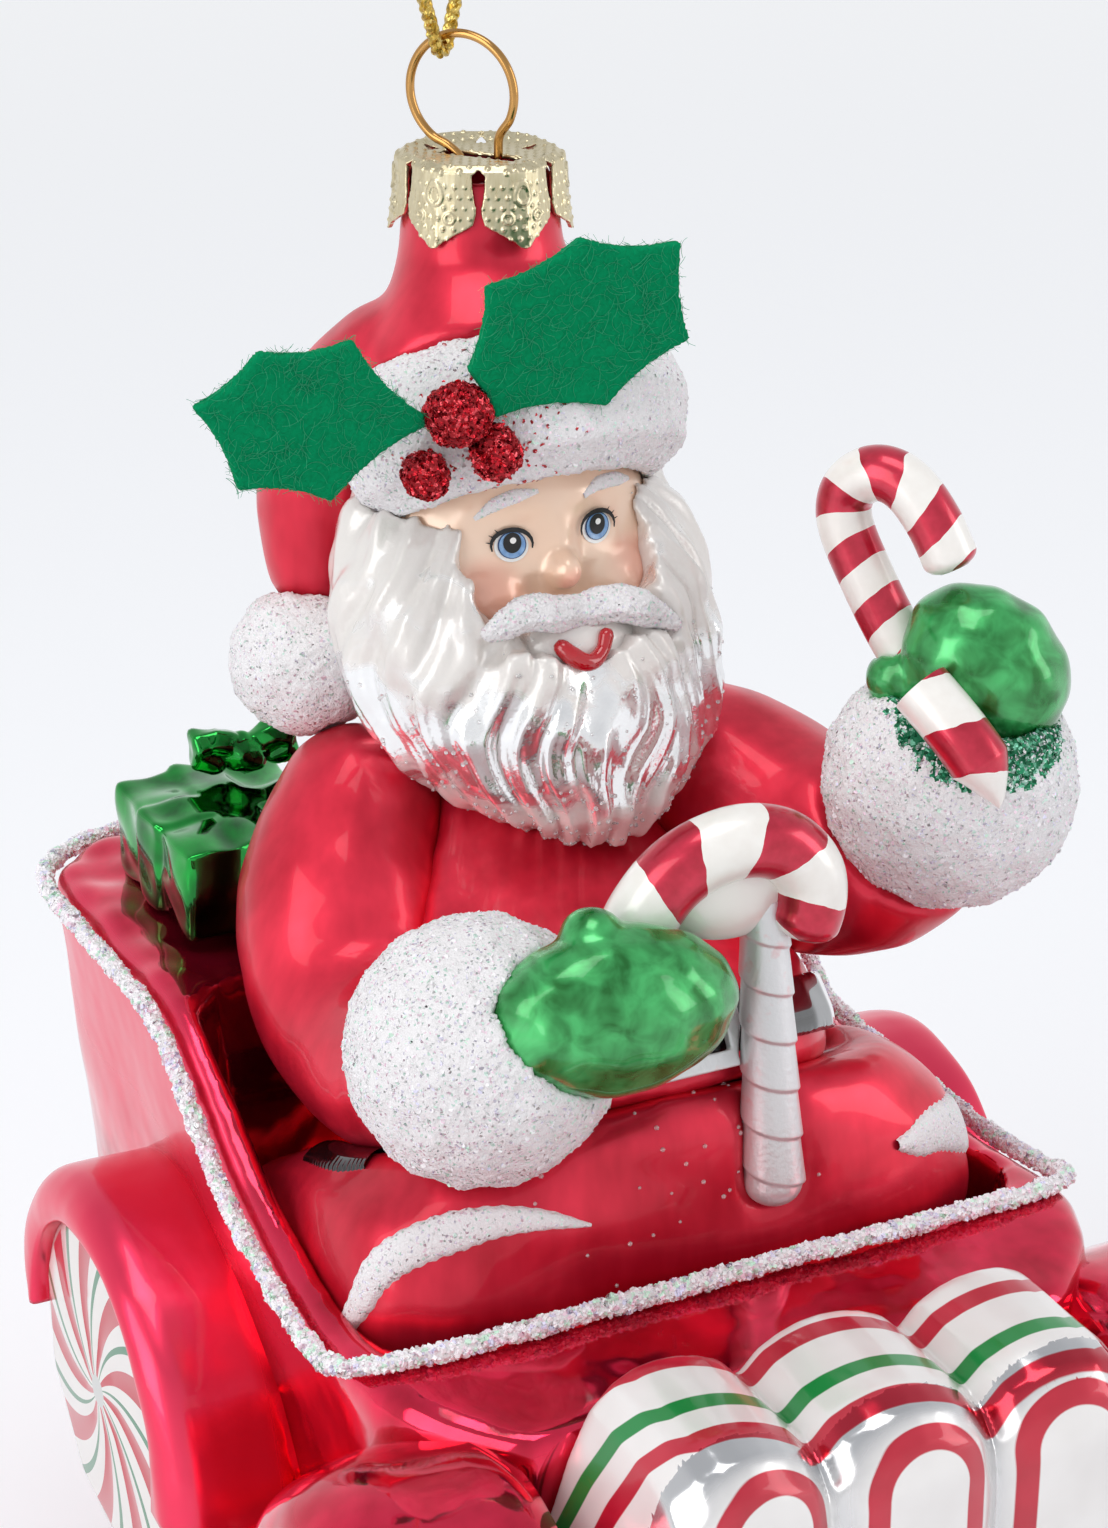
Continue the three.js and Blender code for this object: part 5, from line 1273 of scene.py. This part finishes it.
def sprinkle(name, base, kind, density, sizes, tumble, seed, material, share=None):
    # Density is grains per square mm, and sizes are multiples of a 1 mm grain
    mesh = base.copy()
    if "sprinkle" in mesh.attributes:
        mesh.attributes.remove(mesh.attributes["sprinkle"])
    numberOn(mesh, "sprinkle", share(mmPoints(mesh)) if share else np.ones(len(mesh.vertices)))
    carrier = bpy.data.objects.new("carrier", mesh)
    bpy.context.collection.objects.link(carrier)
    step = carrier.modifiers.new("scatter", "NODES")
    step.node_group = scatter
    ids = {item.name: item.identifier for item in scatter.interface.items_tree if item.in_out == "INPUT"}
    given = {"Grain": grains[kind], "Density": density * 1e6, "Smallest": sizes[0], "Largest": sizes[1],
             "Tumble": tumble, "Seed": seed, "Finish": material}
    for key, value in given.items():
        step[ids[key]] = value
    carrier.update_tag()
    bpy.context.view_layer.update()
    result = bpy.data.meshes.new_from_object(carrier.evaluated_get(bpy.context.evaluated_depsgraph_get()))
    bpy.data.objects.remove(carrier)
    return newPiece(name, result, "glass", material)


# Loose grains that flash pale pink, green and violet
iridescent = glitter("white and iridescent glitter grains", "#f5f1f4",
                     ["#ffe2f1", "#d8f8e4", "#ece9ff", "#ffffff"], 0.5, 0.5, roughness=0.5, bump=0.1,
                     shine=0.35, metallic=0.0)
trim = dressed("rim_trim", "glitter_rim_bead", whiteGlitter, 0.25, 6, -0.22, sugared(0.05))
sprinkle("rim_glitter_grains", trim.data, "chip", 9.5, (0.2, 0.46), 3.1, 71, iridescent)
for i in (1, 2, 3):
    dressed(f"holly_berry_{i}", f"red_berry_{i}", redFlakes, 0.2, 3, 0.02, sugared(0.04))
for i in (1, 2, 3):
    berry = bpy.data.objects[f"red_berry_{i}"].data
    sprinkle(f"red_berry_flakes_{i}", berry, "flake", 13, (0.35, 0.7), 0.9, 71 + i, redFlakes)


def around(centre, reach):
    # The share of grains fades away from a centre in mm
    return lambda p: np.exp(-np.linalg.norm((p - np.array(centre)) / np.array(reach), axis=1) ** 2)


strayRed = around((-7, -19, 101.5), (4.5, 4.5, 4.5))
brim = bpy.data.objects["hat_fur_brim"].data
sprinkle("stray_red_flakes", brim, "flake", 2.2, (0.3, 0.5), 0.5, 76, redFlakes, strayRed)


def lowerBeard(p):
    low = np.clip((84 - p[:, 2]) / 8, 0, 1) * (0.35 + 0.65 * np.clip((76 - p[:, 2]) / 8, 0, 1))
    return low * (p[:, 1] < -6)


sprinkle("beard_glass_beads", beardMesh, "bead", 0.6, (0.25, 0.5), 3.1, 77, beadGlass,
         lowerBeard)
for side, seed in (("right", 81), ("left", 82)):
    cuff = bpy.data.objects[f"{side}_fur_cuff"].data
    sprinkle(f"{side}_cuff_glitter", cuff, "flake", 1.1, (0.22, 0.5), 0.7, seed, iridescent)
sprinkle("brim_glitter", brim, "flake", 0.9, (0.22, 0.46), 0.7, 83, iridescent)
sprinkle("wrist_green_grains", leftCuff, "flake", 8, (0.25, 0.5), 1.0, 85, greenGrit,
         lambda p: greenWrist(p).astype(float))
sprinkle("wrist_stray_grains", leftCuff, "flake", 2.6, (0.22, 0.42), 0.8, 86, iridescent,
         lambda p: greenWrist(p, 6.0))
lap = around((-4, -45, 48), (9, 20, 7))
sprinkle("lap_stray_beads", coatLap.data, "bead", 0.12, (0.3, 0.5), 3.1, 84, beadGlass, lap)
print("glitter scattered")

# Felt leaves
leaves = {
    "right": {"fibres": 2.0, "length": (0.9, 2.0), "flat": (0.0205, 0.013), "area": 0.000165},
    "left": {"fibres": 2.0, "length": (0.9, 2.0), "flat": (0.0199, 0.0142), "area": 0.00019},
}
# Hairs that stand off the felt, painted a shade paler than the sheet as a painted highlight
feltFibre = finish("loose green fibres", "#1f9468", 0.8)[0]
for side, facts in leaves.items():
    mesh = evenCopy(f"{side}_holly_leaf", 0.22, 3)
    push(mesh, lambda p, n: 0.03 * grit.normal(size=len(p)))
    leaf = newPiece(f"{side}_felt_leaf", mesh, "glass", felt, [f"{side}_holly_leaf"])
    fuzz = sprinkle(f"{side}_felt_fibres", leaf.data, "fibre", facts["fibres"], facts["length"], 0.12,
                    90 + len(side), feltFibre)
print("leaves made")


# Floor, world and lamps
studio = {
    "floorHalf": 6,
    "floorBelow": 0.03,
    "aim": (0, -0.02, -0.11),
    "backdrop": "#ebedf0",
    "room": ((0.0, "#f3f5f8"), (0.45, "#dfe1e5"), (1.0, "#babdc2")),
    "fill": 0.74,
    "glow": 0.2,
    "paper": ("#e6e7ea", "#ffffff"),
    "lamps": {
        "left_softbox": ((-0.62, -0.2, 0.15), (0.4, 0.6), 1.85),
        "right_softbox": ((0.62, -0.45, 0.1), (0.3, 0.5), 1.2),
        "top_softbox": ((-0.1, -0.1, 0.7), (0.4, 0.4), 1.6),
    },
}


def addRoom():
    half, low = studio["floorHalf"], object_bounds()[0][2] - studio["floorBelow"]
    corners = [(-half, -half, low), (half, -half, low), (half, half, low), (-half, half, low)]
    mesh = meshFrom("floor", corners, [(0, 1, 2, 3)])
    floor = bpy.data.objects.new("floor", mesh)
    bpy.context.collection.objects.link(floor)
    # The sweep is a shade paler away from the lamps, so that it reads as one even white
    paper, tree, shader, spot = finish("white paper sweep", studio["paper"][0], 0.9)
    away = add(tree, "VectorMath", {0: spot}, operation="LENGTH")
    far = add(tree, "MapRange", {"Value": away, "From Min": 0.3, "From Max": 1.2},
              interpolation_type="SMOOTHSTEP")
    feed(shader, {"Base Color": add(tree, "Mix", {0: far, 6: studio["paper"][0], 7: studio["paper"][1]})})
    # White paper as the eye and the mirror glass see it; the glow lights nothing
    shader.inputs["Emission Color"].default_value = colour("#ffffff")
    rays = add(tree, "LightPath").outputs
    plain = add(tree, "Math", {0: rays["Is Camera Ray"], 1: rays["Is Glossy Ray"]}, operation="MAXIMUM")
    plain = add(tree, "Math", {0: plain, 1: rays["Is Transmission Ray"]}, operation="MAXIMUM")
    glow = add(tree, "Math", {0: plain, 1: studio["glow"]}, operation="MULTIPLY")
    feed(shader, {"Emission Strength": glow})
    side = add(tree, "NewGeometry").outputs["Backfacing"]
    clear = add(tree, "BsdfTransparent")
    both = add(tree, "MixShader", {0: side, 1: shader, 2: clear})
    feed(tree.nodes["Material Output"], {"Surface": both})
    mesh.materials.append(paper)
    world = bpy.data.worlds.new("studio")
    world.use_nodes = True
    tree = world.node_tree
    back = tree.nodes["Background"]
    rays = add(tree, "LightPath").outputs
    seen = add(tree, "Math", {0: rays["Is Glossy Ray"], 1: rays["Is Transmission Ray"]}, operation="MAXIMUM")
    strength = add(tree, "MapRange", {"Value": rays["Is Diffuse Ray"], "To Min": 1.0,
                                      "To Max": studio["fill"]})
    where = add(tree, "TexCoord").outputs["Generated"]
    height = add(tree, "SeparateXYZ", {0: where}).outputs["Z"]
    ramp = add(tree, "ValToRGB", {"Fac": height})
    fillRamp(ramp, studio["room"])
    tone = add(tree, "Mix", {0: seen, 6: studio["backdrop"], 7: ramp})
    feed(back, {"Color": tone, "Strength": strength})
    bpy.context.scene.world = world
    aim = Vector(studio["aim"])
    for name, (at, size, power) in studio["lamps"].items():
        data = bpy.data.lights.new(name, "AREA")
        data.shape = "RECTANGLE"
        data.size, data.size_y = size
        data.energy = power
        lamp = bpy.data.objects.new(name, data)
        lamp.location = at
        lamp.rotation_euler = (aim - Vector(at)).to_track_quat("-Z", "Y").to_euler()
        bpy.context.collection.objects.link(lamp)
    bpy.context.scene.view_settings.view_transform = "Standard"


addRoom()
print("scene done")
